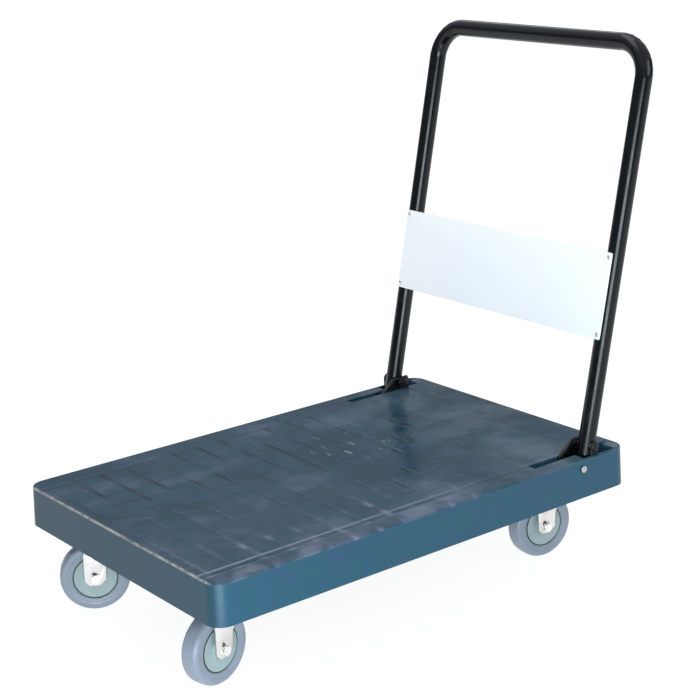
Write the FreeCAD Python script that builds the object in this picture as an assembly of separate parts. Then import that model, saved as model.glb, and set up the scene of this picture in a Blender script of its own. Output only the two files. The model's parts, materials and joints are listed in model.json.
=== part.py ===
import FreeCAD, Part
import math
import os

from FreeCAD import Vector

# Folding platform cart. Millimetres. +X runs along the deck towards the handle, +Y across it, +Z up.
# The floor is z = 0 and the origin is the middle of the whole cart's footprint.

# ---- driving dimensions -------------------------------------------------------------------------
DECK_LENGTH = 920.0
DECK_WIDTH = 600.0
SKIRT_HEIGHT = 73.0
SKIRT_WALL = 4.5
SKIRT_DRAFT = 2.0             # each side leans out by this much from top to bottom
TOP_SKIN = 4.5
CORNER_RADIUS = 28.0
TOP_EDGE_ROUND = 3.0
RIB_THICKNESS = 3.0
RIB_LIFT = 9.0                # ribs end this far above the skirt's lower edge
RIB_BAYS_LENGTH = 12
RIB_BAYS_WIDTH = 9

TUBE_DIAMETER = 32.0
TUBE_WALL = 1.6
LEG_MARGIN = 0.5              # outer cheek to the skirt's inner face
HANDLE_HEIGHT = 740.0         # top of the handle above the deck
HANDLE_LEAN = 12.0            # degrees behind upright
BEND_RADIUS = 62.0            # centre line of the two upper bends
PIVOT_FROM_REAR = 82.0        # pivot axis ahead of the deck's rear end
PIVOT_LIFT = 15.0             # pivot axis above the deck
HEEL_LENGTH = 52.0            # tube below the pivot
PLUG_LIP = 3.0

PLATE_OVERLAP = 7.0           # panel past each leg's centre line
PLATE_HEIGHT = 158.0
PLATE_THICKNESS = 1.5
PLATE_UP = 210.0              # lower edge of the panel, measured up the leg from the deck
PLATE_SCREW_INSET = 9.0
PLATE_SCREW_RADIUS = 2.4

CHEEK = 3.0                   # steel thickness of the hinge brackets
CHEEK_TOE = 52.0              # bracket's front end ahead of the pivot
SLOT_EDGE = 4.0               # bracket steel behind the lock bar's slot
OUTER_SIDE_PLAY = 1.0         # tube to outer cheek
INNER_SIDE_PLAY = 1.7         # tube to inner cheek
FLANGE = 24.0                 # bracket's foot, inward under the deck
BRACKET_SCREW_RADIUS = 3.0
PIVOT_RADIUS = 5.0
BUSH_RADIUS = 8.0
GROOVE_LENGTH = 128.0         # relief groove ahead of the pivot
GROOVE_WIDTH = 18.0
GROOVE_DEPTH = 11.0
SCOOP_END = 73.0              # shallow end of the scoop behind the pivot
STOP_RADIUS = 11.2            # nylon rollers that the heels lean on
STOP_HEADROOM = 1.6           # roller to the underside of the deck's skin
STOP_ROD_RADIUS = 5.0
ROD_CAP_RADIUS = 6.5

LOCK_BAR_RADIUS = 6.0
LOCK_DROP = 47.0              # lock bar below the pivot
LOCK_TRAVEL = 17.0
PEDAL_WIDTH = 90.0
PEDAL_DEPTH = 36.0
PEDAL_SKIN = 4.0              # rubber under and behind the arm
PEDAL_TREAD = 5.0             # rubber above the arm
PEDAL_DROP = 9.0              # arm below the deck's skirt
PEDAL_REACH = 18.0            # arm past the deck's rear end
ARM_WIDTH = 30.0
ARM_STEEL = 5.0
TREAD_PITCH = 6.0
SPRING_WIRE = 1.4
SPRING_RADIUS = 5.4
SPRING_TURNS = 3

WHEEL_RADIUS = 62.5
TYRE_WIDTH = 34.0
TYRE_DEPTH = 20.5
HUB_PROUD = 2.0               # hub past the tyre on each side
BEARING_RADIUS = 14.0
BEARING_WIDTH = 8.0
SLEEVE_RADIUS = 6.0
AXLE_RADIUS = 5.0
FORK_GAP = 2.0                # hub to fork on each side
WHEEL_HEADROOM = 17.7         # tyre to the fork's crown
FORK_STEEL = 3.5
CROWN_RADIUS = 34.0
CROWN_STEEL = 4.0
TRAIL = 33.0                  # axle behind the swivel axis
CASTER_PLATE_LENGTH = 108.0
CASTER_PLATE_WIDTH = 90.0
CASTER_PLATE_STEEL = 5.0
CASTER_BOLT_EDGE_X = 12.0     # bolt centres in from the plate's edges
CASTER_BOLT_EDGE_Y = 13.0
CASTER_BOLT_RADIUS = 4.0
CASTER_LIFT = 7.0             # caster plates sit this far up inside the skirt
PAD_STEP = 8.0                # thickness of the moulded pads
INSERT_HEIGHT = 20.0
PAD_MARGIN = 2.0              # moulded pad past the caster plate
PAD_GAP = 1.3                 # pad to hinge bracket
FRONT_MARGIN = 43.0           # caster plate from the deck's front end
REAR_MARGIN = 20.0
KINGPIN_RADIUS = 6.0
RACE_RADIUS = 22.0
BALL_RADIUS = 3.5
RACE_GAP = 6.3                # between the plate and the fork's crown
BALL_COUNT = 16

RUNNING = 0.05                # radial clearance of a turning fit
SLIP = 0.3                    # clearance between pieces that pass each other
SEAT = 0.1                    # gap left where a flat piece lies on a round one

# Swivel angle of each caster, degrees about +Z, as the cart stands.
CASTERS = {
    "front_left": (-1, 1, -29.0),
    "front_right": (-1, -1, 12.5),
    "rear_left": (1, 1, 9.0),
    "rear_right": (1, -1, -7.5),
}

# ---- places worked out from the sizes above ---------------------------------------------------------
HUB_RADIUS = WHEEL_RADIUS - TYRE_DEPTH
HUB_WIDTH = TYRE_WIDTH + 2 * HUB_PROUD
FORK_INNER_WIDTH = HUB_WIDTH + 2 * FORK_GAP
CASTER_BOLT_SPACING_X = CASTER_PLATE_LENGTH - 2 * CASTER_BOLT_EDGE_X
CASTER_BOLT_SPACING_Y = CASTER_PLATE_WIDTH - 2 * CASTER_BOLT_EDGE_Y
CROWN_TOP = 2 * WHEEL_RADIUS + WHEEL_HEADROOM + CROWN_STEEL
CASTER_SEAT = CROWN_TOP + RACE_GAP + CASTER_PLATE_STEEL
RACE_Z = CROWN_TOP + RACE_GAP / 2
PAD_TOP = CASTER_SEAT + PAD_STEP
SKIRT_BOTTOM = CASTER_SEAT - CASTER_LIFT
DECK_TOP = SKIRT_BOTTOM + SKIRT_HEIGHT
TUBE_RADIUS = TUBE_DIAMETER / 2
LEAN = math.radians(HANDLE_LEAN)
SKIN_UNDERSIDE = DECK_TOP - TOP_SKIN
RIB_BOTTOM = SKIRT_BOTTOM + RIB_LIFT
PIVOT_Z = DECK_TOP + PIVOT_LIFT
TOP_TUBE_UP = (HANDLE_HEIGHT - PIVOT_LIFT - TUBE_RADIUS) / math.cos(LEAN)   # pivot to top tube, along the leg
HANDLE_REACH = TOP_TUBE_UP * math.sin(LEAN) + TUBE_RADIUS - PIVOT_FROM_REAR  # handle past the rear end
DECK_X = -max(HANDLE_REACH, 0) / 2
REAR_X = DECK_X + DECK_LENGTH / 2
FRONT_X = DECK_X - DECK_LENGTH / 2
PIVOT_X = REAR_X - PIVOT_FROM_REAR
OUTER_CHEEK_Y = DECK_WIDTH / 2 - SKIRT_DRAFT - SKIRT_WALL - LEG_MARGIN - CHEEK   # its inward face
LEG_Y = OUTER_CHEEK_Y - OUTER_SIDE_PLAY - TUBE_RADIUS
INNER_CHEEK_Y = LEG_Y - TUBE_RADIUS - INNER_SIDE_PLAY                            # its outward face
FLANGE_Y = INNER_CHEEK_Y - CHEEK - FLANGE    # inward end of a bracket's foot
CASTER_Y = FLANGE_Y - PAD_GAP - PAD_MARGIN - CASTER_PLATE_WIDTH / 2
PLATE_WIDTH = 2 * (LEG_Y + PLATE_OVERLAP)
BRACKET_BASE = RIB_BOTTOM - CHEEK
STOP_Z = SKIN_UNDERSIDE - STOP_HEADROOM - STOP_RADIUS
STOP_X = (PIVOT_X - (PIVOT_Z - STOP_Z) * math.tan(LEAN)
          - (TUBE_RADIUS + STOP_RADIUS + SLIP) / math.cos(LEAN))
LOCK_Z = PIVOT_Z - LOCK_DROP
LOCK_OPEN_Z = LOCK_Z - LOCK_TRAVEL   # the lock is drawn pressed down, where the handle is free to fold
LOCK_X = (PIVOT_X - LOCK_DROP * math.tan(LEAN)
          + (TUBE_RADIUS + LOCK_BAR_RADIUS + SLIP) / math.cos(LEAN))
ARM_TOP = SKIRT_BOTTOM - PEDAL_DROP - LOCK_TRAVEL
CHEEK_BACK = LOCK_X + LOCK_BAR_RADIUS + SLIP + SLOT_EDGE
HEEL_SWEEP = math.hypot(HEEL_LENGTH + PLUG_LIP, TUBE_RADIUS)


# ---- helpers ----------------------------------------------------------------------------------------
def block(x0, x1, y0, y1, z0, z1):
    return Part.makeBox(x1 - x0, y1 - y0, z1 - z0, Vector(x0, y0, z0))


def rod(radius, start, end):
    """Round bar from one point to another."""
    line = Vector(*end) - Vector(*start)
    return Part.makeCylinder(radius, line.Length, Vector(*start), line)


def plate_xz(points, y0, y1):
    """Flat plate with an outline in the X-Z plane, from y0 to y1."""
    corners = [Vector(x, y0, z) for x, z in points]
    face = Part.Face(Part.makePolygon(corners + corners[:1]))
    return face.extrude(Vector(0, y1 - y0, 0))


def rounded_wire(length, width, radius, z):
    """Closed rectangle with round corners, about the origin."""
    a, b = length / 2, width / 2
    k = radius * (1 - math.sqrt(0.5))
    edges = []
    for sx, sy in ((1, 1), (-1, 1), (-1, -1), (1, -1)):
        across = [Vector(sx * a, sy * (b - radius), z), Vector(sx * (a - radius), sy * b, z)]
        if sx * sy < 0:
            across.reverse()
        middle = Vector(sx * (a - k), sy * (b - k), z)
        edges.append(Part.Arc(across[0], middle, across[1]).toShape())
    wire_edges = []
    for here, following in zip(edges, edges[1:] + edges[:1]):
        wire_edges += [here, Part.makeLine(here.Vertexes[-1].Point, following.Vertexes[0].Point)]
    return Part.Wire(wire_edges)


def rounded_block(length, width, radius, z0, z1):
    face = Part.Face(rounded_wire(length, width, radius, z0))
    return face.extrude(Vector(0, 0, z1 - z0))


def hexagon(across_flats, base, height, axis):
    """Hexagonal prism standing on base along axis."""
    corner = across_flats / math.sqrt(3)
    points = [Vector(corner * math.cos(math.radians(60 * k)), corner * math.sin(math.radians(60 * k)), 0)
              for k in range(7)]
    prism = Part.Face(Part.makePolygon(points)).extrude(Vector(0, 0, height))
    prism.Placement = FreeCAD.Placement(Vector(*base), FreeCAD.Rotation(Vector(0, 0, 1), Vector(*axis)))
    return prism


def revolved(points, axis_point=Vector(0, 0, 0)):
    """Ring turned about an axis along Y; points are (radius, y)."""
    corners = [axis_point + Vector(r, y, 0) for r, y in points]
    face = Part.Face(Part.makePolygon(corners + corners[:1]))
    return face.revolve(axis_point, Vector(0, 1, 0), 360)


def joined(shapes):
    first, rest = shapes[0], shapes[1:]
    return first.fuse(rest).removeSplitter() if rest else first


def save(name, shape):
    """A node holds one solid, or a group of separate solids."""
    solids = shape.Solids
    whole = solids[0] if len(solids) == 1 else Part.makeCompound(solids)
    whole.exportStep(os.path.join("parts", name + ".step"))


def both_sides(make):
    """The same piece for the -Y and the +Y leg, as one group."""
    return Part.makeCompound([make(side) for side in (-1, 1)])


def span_y(side, near, far):
    """A Y interval on one side of the cart, lower end first."""
    return (near, far) if side > 0 else (-far, -near)


# ---- deck: one ribbed moulding -----------------------------------------------------------------------
def caster_centre(name):
    end, side, _ = CASTERS[name]
    half = CASTER_PLATE_LENGTH / 2
    x = REAR_X - REAR_MARGIN - half if end > 0 else FRONT_X + FRONT_MARGIN + half
    return x, side * CASTER_Y


def bolt_places(name):
    cx, cy = caster_centre(name)
    return [(cx + i * CASTER_BOLT_SPACING_X / 2, cy + j * CASTER_BOLT_SPACING_Y / 2)
            for i in (-1, 1) for j in (-1, 1)]


def corner_envelope(past_wall, z0, z1):
    """The deck's outline with its round corners, this far out from the skirt's inner face."""
    inset = 2 * (SKIRT_DRAFT + SKIRT_WALL - past_wall)
    radius = CORNER_RADIUS - SKIRT_WALL + past_wall
    outline = rounded_block(DECK_LENGTH - inset, DECK_WIDTH - inset, radius, z0, z1)
    outline.translate(Vector(DECK_X, 0, 0))
    return outline


def foot_void(side):
    """Open space for one leg, its bracket and the swing of its heel."""
    inner = INNER_CHEEK_Y - CHEEK - SLIP
    outer = OUTER_CHEEK_Y + CHEEK + SLIP
    front = PIVOT_X - CHEEK_TOE - SLIP
    back = CHEEK_BACK + SLIP
    ceiling = SKIN_UNDERSIDE
    above = DECK_TOP + 20
    mouth_front = PIVOT_X - TUBE_RADIUS / math.cos(LEAN) - 11
    sweep = HEEL_SWEEP + 3
    leg_lo, leg_hi = span_y(side, LEG_Y - TUBE_RADIUS - 1.2, outer)
    lo, hi = span_y(side, inner, outer)
    groove = span_y(side, inner, inner + GROOVE_WIDTH)
    cavity = block(front, back, lo, hi, SKIRT_BOTTOM - 1, ceiling)
    mouth = block(mouth_front, back, lo, hi, ceiling - 1, above)
    channel = block(PIVOT_X - GROOVE_LENGTH, back, *groove, DECK_TOP - GROOVE_DEPTH, above)
    swing = rod(sweep, (PIVOT_X, leg_lo, PIVOT_Z), (PIVOT_X, leg_hi, PIVOT_Z))
    swing = swing.common(block(PIVOT_X, PIVOT_X + sweep, leg_lo, leg_hi, RIB_BOTTOM + 4, above))
    ramp = plate_xz([(PIVOT_X, DECK_TOP - 16), (PIVOT_X + SCOOP_END, DECK_TOP + 0.2),
                     (PIVOT_X + SCOOP_END, above), (PIVOT_X, above)], leg_lo, leg_hi)
    void = joined([cavity, mouth, channel, swing, ramp])
    return void.common(corner_envelope(0, SKIRT_BOTTOM - 2, above + 1))


def foot_housing(side):
    """Walls moulded round that space, before it is hollowed out."""
    inner = INNER_CHEEK_Y - CHEEK - SLIP - RIB_THICKNESS
    lo, hi = span_y(side, inner, DECK_WIDTH / 2 - SKIRT_WALL)
    trench = span_y(side, inner, inner + GROOVE_WIDTH + 2 * RIB_THICKNESS)
    tail = min(PIVOT_X + SCOOP_END + RIB_THICKNESS, REAR_X - SKIRT_WALL)
    floor = DECK_TOP - GROOVE_DEPTH - RIB_THICKNESS
    toe = PIVOT_X - CHEEK_TOE - SLIP - RIB_THICKNESS
    walls = joined([
        block(toe, tail, lo, hi, RIB_BOTTOM, SKIN_UNDERSIDE + 1),
        block(PIVOT_X - GROOVE_LENGTH - RIB_THICKNESS, toe + 1, *trench, floor, SKIN_UNDERSIDE + 1),
    ])
    return walls.common(corner_envelope(SKIRT_WALL / 2, RIB_BOTTOM - 1, SKIN_UNDERSIDE + 2))


def make_deck():
    draft = 2 * SKIRT_DRAFT
    foot = rounded_wire(DECK_LENGTH, DECK_WIDTH, CORNER_RADIUS, SKIRT_BOTTOM)
    rim = rounded_wire(DECK_LENGTH - draft, DECK_WIDTH - draft, CORNER_RADIUS, DECK_TOP)
    outer = Part.makeLoft([foot, rim], True, True)
    top_edges = [e for e in outer.Edges if all(abs(v.Z - DECK_TOP) < 0.01 for v in e.Vertexes)]
    outer = outer.makeFillet(min(TOP_EDGE_ROUND, TOP_SKIN - 0.5), top_edges)
    inside_length = DECK_LENGTH - draft - 2 * SKIRT_WALL
    inside_width = DECK_WIDTH - draft - 2 * SKIRT_WALL
    inside_radius = CORNER_RADIUS - SKIRT_WALL
    hollow = rounded_block(inside_length, inside_width, inside_radius, SKIRT_BOTTOM - 1, SKIN_UNDERSIDE)
    tray = outer.cut(hollow)

    ribs = []
    pitch_x = inside_length / RIB_BAYS_LENGTH
    pitch_y = inside_width / RIB_BAYS_WIDTH
    half = RIB_THICKNESS / 2
    for k in range(1, RIB_BAYS_LENGTH):
        x = -inside_length / 2 + k * pitch_x
        ribs.append(block(x - half, x + half, -inside_width / 2, inside_width / 2, RIB_BOTTOM, DECK_TOP - 1))
    for k in range(1, RIB_BAYS_WIDTH):
        y = -inside_width / 2 + k * pitch_y
        ribs.append(block(-inside_length / 2, inside_length / 2, y - half, y + half,
                          RIB_BOTTOM, DECK_TOP - 1))
    deck = tray.fuse(ribs)
    deck.translate(Vector(DECK_X, 0, 0))

    added = [foot_housing(side) for side in (-1, 1)]
    for name in CASTERS:
        cx, cy = caster_centre(name)
        pad = rounded_block(CASTER_PLATE_LENGTH + 2 * PAD_MARGIN, CASTER_PLATE_WIDTH + 2 * PAD_MARGIN, 6,
                            CASTER_SEAT, PAD_TOP)
        pad.translate(Vector(cx, cy, 0))
        added.append(pad)
        for x, y in bolt_places(name):
            added.append(rod(11, (x, y, CASTER_SEAT), (x, y, CASTER_SEAT + INSERT_HEIGHT + 6)))
    deck = deck.fuse(added)

    removed = [foot_void(side) for side in (-1, 1)]
    channel = LOCK_BAR_RADIUS + 2
    reach = INNER_CHEEK_Y
    removed.append(block(LOCK_X - channel, LOCK_X + channel, -reach, reach, PAD_TOP + 0.5, LOCK_Z + channel))
    removed.append(block(LOCK_X - channel - 4, REAR_X - SKIRT_WALL - SKIRT_DRAFT, -20, 20,
                         SKIRT_BOTTOM - 1, LOCK_Z + channel))
    for side in (-1, 1):
        lo, hi = span_y(side, FLANGE_Y, INNER_CHEEK_Y)
        removed.append(block(LOCK_X - channel - 3, LOCK_X + channel + 3, lo, hi,
                             BRACKET_BASE - 1, LOCK_Z + channel))
    rod_end = DECK_WIDTH / 2 + 1
    removed.append(rod(STOP_ROD_RADIUS + SEAT, (STOP_X, -rod_end, STOP_Z), (STOP_X, rod_end, STOP_Z)))
    for name in CASTERS:
        for x, y in bolt_places(name):
            removed.append(rod(CASTER_BOLT_RADIUS + 2.5, (x, y, CASTER_SEAT - 1),
                               (x, y, CASTER_SEAT + INSERT_HEIGHT)))
        cx, cy = caster_centre(name)
        removed.append(rod(KINGPIN_RADIUS + 4, (cx, cy, CASTER_SEAT - 1), (cx, cy, CASTER_SEAT + 3)))
    for x, y in bracket_screws():
        removed.append(rod(BRACKET_SCREW_RADIUS, (x, y, RIB_BOTTOM - 1), (x, y, RIB_BOTTOM + 16)))
    return deck.cut(removed)


# ---- hinge brackets, their screws and the stop rod ----------------------------------------------------
def bracket_screws():
    """Two screws up through each bracket's inward foot."""
    y = FLANGE_Y + FLANGE / 2
    return [(PIVOT_X + x, side * y) for side in (-1, 1) for x in (-CHEEK_TOE + 10, -CHEEK_TOE + 38)]


def make_bracket(side):
    """Welded steel bracket: base under the deck, tall inner cheek, round-eared outer cheek."""
    front, back = PIVOT_X - CHEEK_TOE, CHEEK_BACK
    inner = span_y(side, INNER_CHEEK_Y - CHEEK, INNER_CHEEK_Y)
    outer = span_y(side, OUTER_CHEEK_Y, OUTER_CHEEK_Y + CHEEK)
    foot = span_y(side, FLANGE_Y, OUTER_CHEEK_Y + CHEEK)
    crest = PIVOT_Z + 10
    ear = 10.0
    base = block(front, back, *foot, BRACKET_BASE, RIB_BOTTOM)
    inner_cheek = plate_xz([(front, BRACKET_BASE), (back, BRACKET_BASE), (back, crest - 6), (back - 4, crest),
                            (PIVOT_X - 20, crest), (front, DECK_TOP)], *inner)
    outer_cheek = joined([
        block(front + 8, back, *outer, BRACKET_BASE, DECK_TOP - TOP_SKIN - SLIP),
        block(PIVOT_X - ear, PIVOT_X + ear, *outer, BRACKET_BASE, PIVOT_Z),
        rod(ear, (PIVOT_X, outer[0], PIVOT_Z), (PIVOT_X, outer[1], PIVOT_Z)),
    ])
    body = joined([base, inner_cheek, outer_cheek])
    near, far = INNER_CHEEK_Y - CHEEK - 1, OUTER_CHEEK_Y + CHEEK + 1
    slot_half = LOCK_BAR_RADIUS + SLIP
    cuts = [
        rod(PIVOT_RADIUS, (PIVOT_X, side * near, PIVOT_Z), (PIVOT_X, side * far, PIVOT_Z)),
        rod(STOP_ROD_RADIUS, (STOP_X, side * near, STOP_Z), (STOP_X, side * far, STOP_Z)),
    ]
    slot_y = span_y(side, near, INNER_CHEEK_Y + 1)
    cuts.append(block(LOCK_X - slot_half, LOCK_X + slot_half, *slot_y, LOCK_OPEN_Z, LOCK_Z))
    for z in (LOCK_OPEN_Z, LOCK_Z):
        cuts.append(rod(slot_half, (LOCK_X, slot_y[0], z), (LOCK_X, slot_y[1], z)))
    for x, y in bracket_screws():
        if y * side > 0:
            cuts.append(rod(BRACKET_SCREW_RADIUS, (x, y, BRACKET_BASE - 1), (x, y, RIB_BOTTOM + 1)))
    return body.cut(cuts)


def make_bracket_screws():
    shapes = []
    for x, y in bracket_screws():
        head = hexagon(10, (x, y, BRACKET_BASE - 4), 4, (0, 0, 1))
        shank = rod(BRACKET_SCREW_RADIUS, (x, y, BRACKET_BASE - 0.5), (x, y, RIB_BOTTOM + 14))
        shapes.append(joined([head, shank]))
    return Part.makeCompound(shapes)


def make_stop_rod():
    end = DECK_WIDTH / 2 + 0.5
    return rod(STOP_ROD_RADIUS, (STOP_X, -end, STOP_Z), (STOP_X, end, STOP_Z))


def make_rod_cap(side):
    """Domed cap pressed on a rod end."""
    seat = side * (DECK_WIDTH / 2 + SEAT)
    cap = rod(ROD_CAP_RADIUS, (STOP_X, seat, STOP_Z), (STOP_X, seat + side * 2.5, STOP_Z))
    rims = [e for e in cap.Edges
            if abs(e.BoundBox.YMin - (seat + side * 2.5)) < 0.01 and len(e.Vertexes) == 1]
    cap = cap.makeFillet(1.2, rims[:1])
    end = side * (DECK_WIDTH / 2 + 0.5)
    return cap.cut(rod(STOP_ROD_RADIUS, (STOP_X, seat - side, STOP_Z), (STOP_X, end, STOP_Z)))


def make_stop_buffer(side):
    """Nylon roller on the stop rod that the heel leans against."""
    lo, hi = span_y(side, INNER_CHEEK_Y + SLIP, OUTER_CHEEK_Y - SLIP)
    roller = rod(STOP_RADIUS, (STOP_X, lo, STOP_Z), (STOP_X, hi, STOP_Z))
    return roller.cut(rod(STOP_ROD_RADIUS, (STOP_X, lo - 1, STOP_Z), (STOP_X, hi + 1, STOP_Z)))


def make_pivot_bolt(side):
    """Round-headed bolt through both cheeks; the leg turns on it."""
    head = OUTER_CHEEK_Y + CHEEK
    crown = 5.0
    shank = rod(PIVOT_RADIUS, (PIVOT_X, side * (INNER_CHEEK_Y - CHEEK - 9), PIVOT_Z),
                (PIVOT_X, side * (head + 1), PIVOT_Z))
    dome_radius = (9.0 ** 2 + crown ** 2) / (2 * crown)
    dome = Part.makeSphere(dome_radius, Vector(PIVOT_X, side * (head + crown - dome_radius), PIVOT_Z))
    slab = span_y(side, head, head + crown + 1)
    dome = dome.common(block(PIVOT_X - 30, PIVOT_X + 30, *slab, PIVOT_Z - 30, PIVOT_Z + 30))
    return joined([shank, dome])


def make_pivot_nut(side):
    start = INNER_CHEEK_Y - CHEEK
    nut = hexagon(16, (PIVOT_X, side * start, PIVOT_Z), 7.5, (0, -side, 0))
    return nut.cut(rod(PIVOT_RADIUS, (PIVOT_X, side * (start + 1), PIVOT_Z),
                       (PIVOT_X, side * (start - 9), PIVOT_Z)))


# ---- handle ----------------------------------------------------------------------------------------------
def leaned(shape):
    """From the upright plane through the pivot to the handle's place at rest."""
    shape.rotate(Vector(0, 0, 0), Vector(0, 1, 0), HANDLE_LEAN)
    shape.translate(Vector(PIVOT_X, 0, PIVOT_Z))
    return shape


def handle_path():
    bend = BEND_RADIUS
    k = bend * (1 - math.sqrt(0.5))
    top = TOP_TUBE_UP
    foot = -HEEL_LENGTH
    left = [Vector(0, -LEG_Y, foot), Vector(0, -LEG_Y, top - bend), Vector(0, -LEG_Y + k, top - k),
            Vector(0, -LEG_Y + bend, top)]
    right = [Vector(0, -p.y, p.z) for p in left]
    return Part.Wire([
        Part.makeLine(left[0], left[1]),
        Part.Arc(left[1], left[2], left[3]).toShape(),
        Part.makeLine(left[3], right[3]),
        Part.Arc(right[3], right[2], right[1]).toShape(),
        Part.makeLine(right[1], right[0]),
    ])


def pipe(radius):
    start = Vector(0, -LEG_Y, -HEEL_LENGTH)
    ring = Part.Wire(Part.makeCircle(radius, start, Vector(0, 0, 1)))
    return handle_path().makePipeShell([ring], True, False)


def screw_places():
    """Panel screws on the legs' centre lines: (y, height along the leg from the pivot)."""
    low = PLATE_UP - PIVOT_LIFT / math.cos(LEAN)
    return [(side * LEG_Y, low + z) for side in (-1, 1)
            for z in (PLATE_SCREW_INSET, PLATE_HEIGHT - PLATE_SCREW_INSET)]


def make_handle_tube():
    tube = pipe(TUBE_RADIUS).cut(pipe(TUBE_RADIUS - TUBE_WALL))
    holes = [rod(BUSH_RADIUS, (0, -LEG_Y - 20, 0), (0, -LEG_Y + 20, 0)),
             rod(BUSH_RADIUS, (0, LEG_Y - 20, 0), (0, LEG_Y + 20, 0))]
    holes += [rod(PLATE_SCREW_RADIUS, (-TUBE_RADIUS - 2, y, z), (0, y, z)) for y, z in screw_places()]
    return leaned(tube.cut(holes))


def make_pivot_bush(side):
    """Sleeve welded across the leg; runs on the pivot bolt."""
    lo, hi = span_y(side, LEG_Y - TUBE_RADIUS - 0.4, LEG_Y + TUBE_RADIUS + 0.4)
    sleeve = rod(BUSH_RADIUS, (0, lo, 0), (0, hi, 0))
    return leaned(sleeve.cut(rod(PIVOT_RADIUS + RUNNING, (0, lo - 1, 0), (0, hi + 1, 0))))


def make_end_plug(side):
    """Plastic plug in the open foot of the leg."""
    y = side * LEG_Y
    lip = rod(TUBE_RADIUS, (0, y, -HEEL_LENGTH - PLUG_LIP), (0, y, -HEEL_LENGTH))
    spigot = rod(TUBE_RADIUS - TUBE_WALL, (0, y, -HEEL_LENGTH - 1), (0, y, -HEEL_LENGTH + 14))
    return leaned(joined([lip, spigot]))


def make_sign_plate():
    low = screw_places()[0][1] - PLATE_SCREW_INSET
    front = -TUBE_RADIUS - SEAT
    sheet = block(front - PLATE_THICKNESS, front, -PLATE_WIDTH / 2, PLATE_WIDTH / 2, low, low + PLATE_HEIGHT)
    corners = [e for e in sheet.Edges if abs(e.BoundBox.XLength - PLATE_THICKNESS) < 0.01]
    sheet = sheet.makeFillet(3, corners)
    holes = [rod(PLATE_SCREW_RADIUS, (front - 5, y, z), (front + 1, y, z)) for y, z in screw_places()]
    return leaned(sheet.cut(holes))


def make_sign_plate_screws():
    face = -TUBE_RADIUS - SEAT - PLATE_THICKNESS
    shapes = []
    for y, z in screw_places():
        head = rod(4.2, (face - 2.2, y, z), (face, y, z))
        rim = [e for e in head.Edges if len(e.Vertexes) == 1 and abs(e.BoundBox.XMax - (face - 2.2)) < 0.01]
        head = head.makeFillet(1.2, rim[:1])
        shank = rod(PLATE_SCREW_RADIUS, (face - 1, y, z), (-TUBE_RADIUS + 8, y, z))
        shapes.append(leaned(joined([head, shank])))
    return Part.makeCompound(shapes)


# ---- foot lock -------------------------------------------------------------------------------------------
def make_lock_bar():
    """Cross bar behind both heels, with the pedal arm welded to its middle."""
    end = OUTER_CHEEK_Y - 2
    half = ARM_WIDTH / 2
    front = LOCK_X - ARM_STEEL / 2
    bar = rod(LOCK_BAR_RADIUS, (LOCK_X, -end, LOCK_OPEN_Z), (LOCK_X, end, LOCK_OPEN_Z))
    drop = block(front, front + ARM_STEEL, -half, half, ARM_TOP, LOCK_OPEN_Z)
    reach = block(front, REAR_X + PEDAL_REACH, -half, half, ARM_TOP - ARM_STEEL, ARM_TOP)
    return joined([bar, drop, reach])


def make_pedal():
    """Ribbed rubber tread pushed over the arm's end."""
    arm_end = REAR_X + PEDAL_REACH
    front = arm_end - PEDAL_DEPTH
    back = arm_end + PEDAL_SKIN
    half = PEDAL_WIDTH / 2
    crest = ARM_TOP + PEDAL_TREAD
    tread = block(front, back, -half, half, ARM_TOP - ARM_STEEL - PEDAL_SKIN, crest)
    uprights = [e for e in tread.Edges if abs(e.BoundBox.XLength) + abs(e.BoundBox.YLength) < 0.01]
    tread = tread.makeFillet(5, uprights)
    cuts = [block(front - 1, arm_end, -ARM_WIDTH / 2, ARM_WIDTH / 2, ARM_TOP - ARM_STEEL, ARM_TOP)]
    grooves = int(PEDAL_DEPTH // TREAD_PITCH)
    for k in range(grooves):
        x = front + 5 + TREAD_PITCH * k
        cuts.append(block(x, x + 2, -half - 1, half + 1, crest - 1.5, crest + 1))
    return tread.cut(cuts)


def make_lock_spring(side):
    """Compression spring that pushes the bar up, squeezed between it and the bracket's foot."""
    low = RIB_BOTTOM + SPRING_WIRE / 2
    high = LOCK_OPEN_Z - LOCK_BAR_RADIUS - SPRING_WIRE / 2
    helix = Part.makeLongHelix((high - low) / SPRING_TURNS, high - low, SPRING_RADIUS)
    ring = Part.Wire(Part.makeCircle(SPRING_WIRE / 2, Vector(SPRING_RADIUS, 0, 0), Vector(0, 1, 0)))
    coil = Part.Wire(helix.Edges).makePipeShell([ring], True, True)
    coil.translate(Vector(LOCK_X, side * (FLANGE_Y + FLANGE / 2), low))
    return coil


# ---- casters, built about the swivel axis with the axle towards -X ----------------------------------
def make_caster_plate():
    plate = rounded_block(CASTER_PLATE_LENGTH, CASTER_PLATE_WIDTH, 10,
                          CASTER_SEAT - CASTER_PLATE_STEEL, CASTER_SEAT)
    holes = [rod(CASTER_BOLT_RADIUS, (i * CASTER_BOLT_SPACING_X / 2, j * CASTER_BOLT_SPACING_Y / 2, 0),
                 (i * CASTER_BOLT_SPACING_X / 2, j * CASTER_BOLT_SPACING_Y / 2, DECK_TOP))
             for i in (-1, 1) for j in (-1, 1)]
    holes.append(rod(KINGPIN_RADIUS, (0, 0, 0), (0, 0, DECK_TOP)))
    holes.append(Part.makeTorus(RACE_RADIUS, BALL_RADIUS + 0.15, Vector(0, 0, RACE_Z)))
    return plate.cut(holes)


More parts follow.
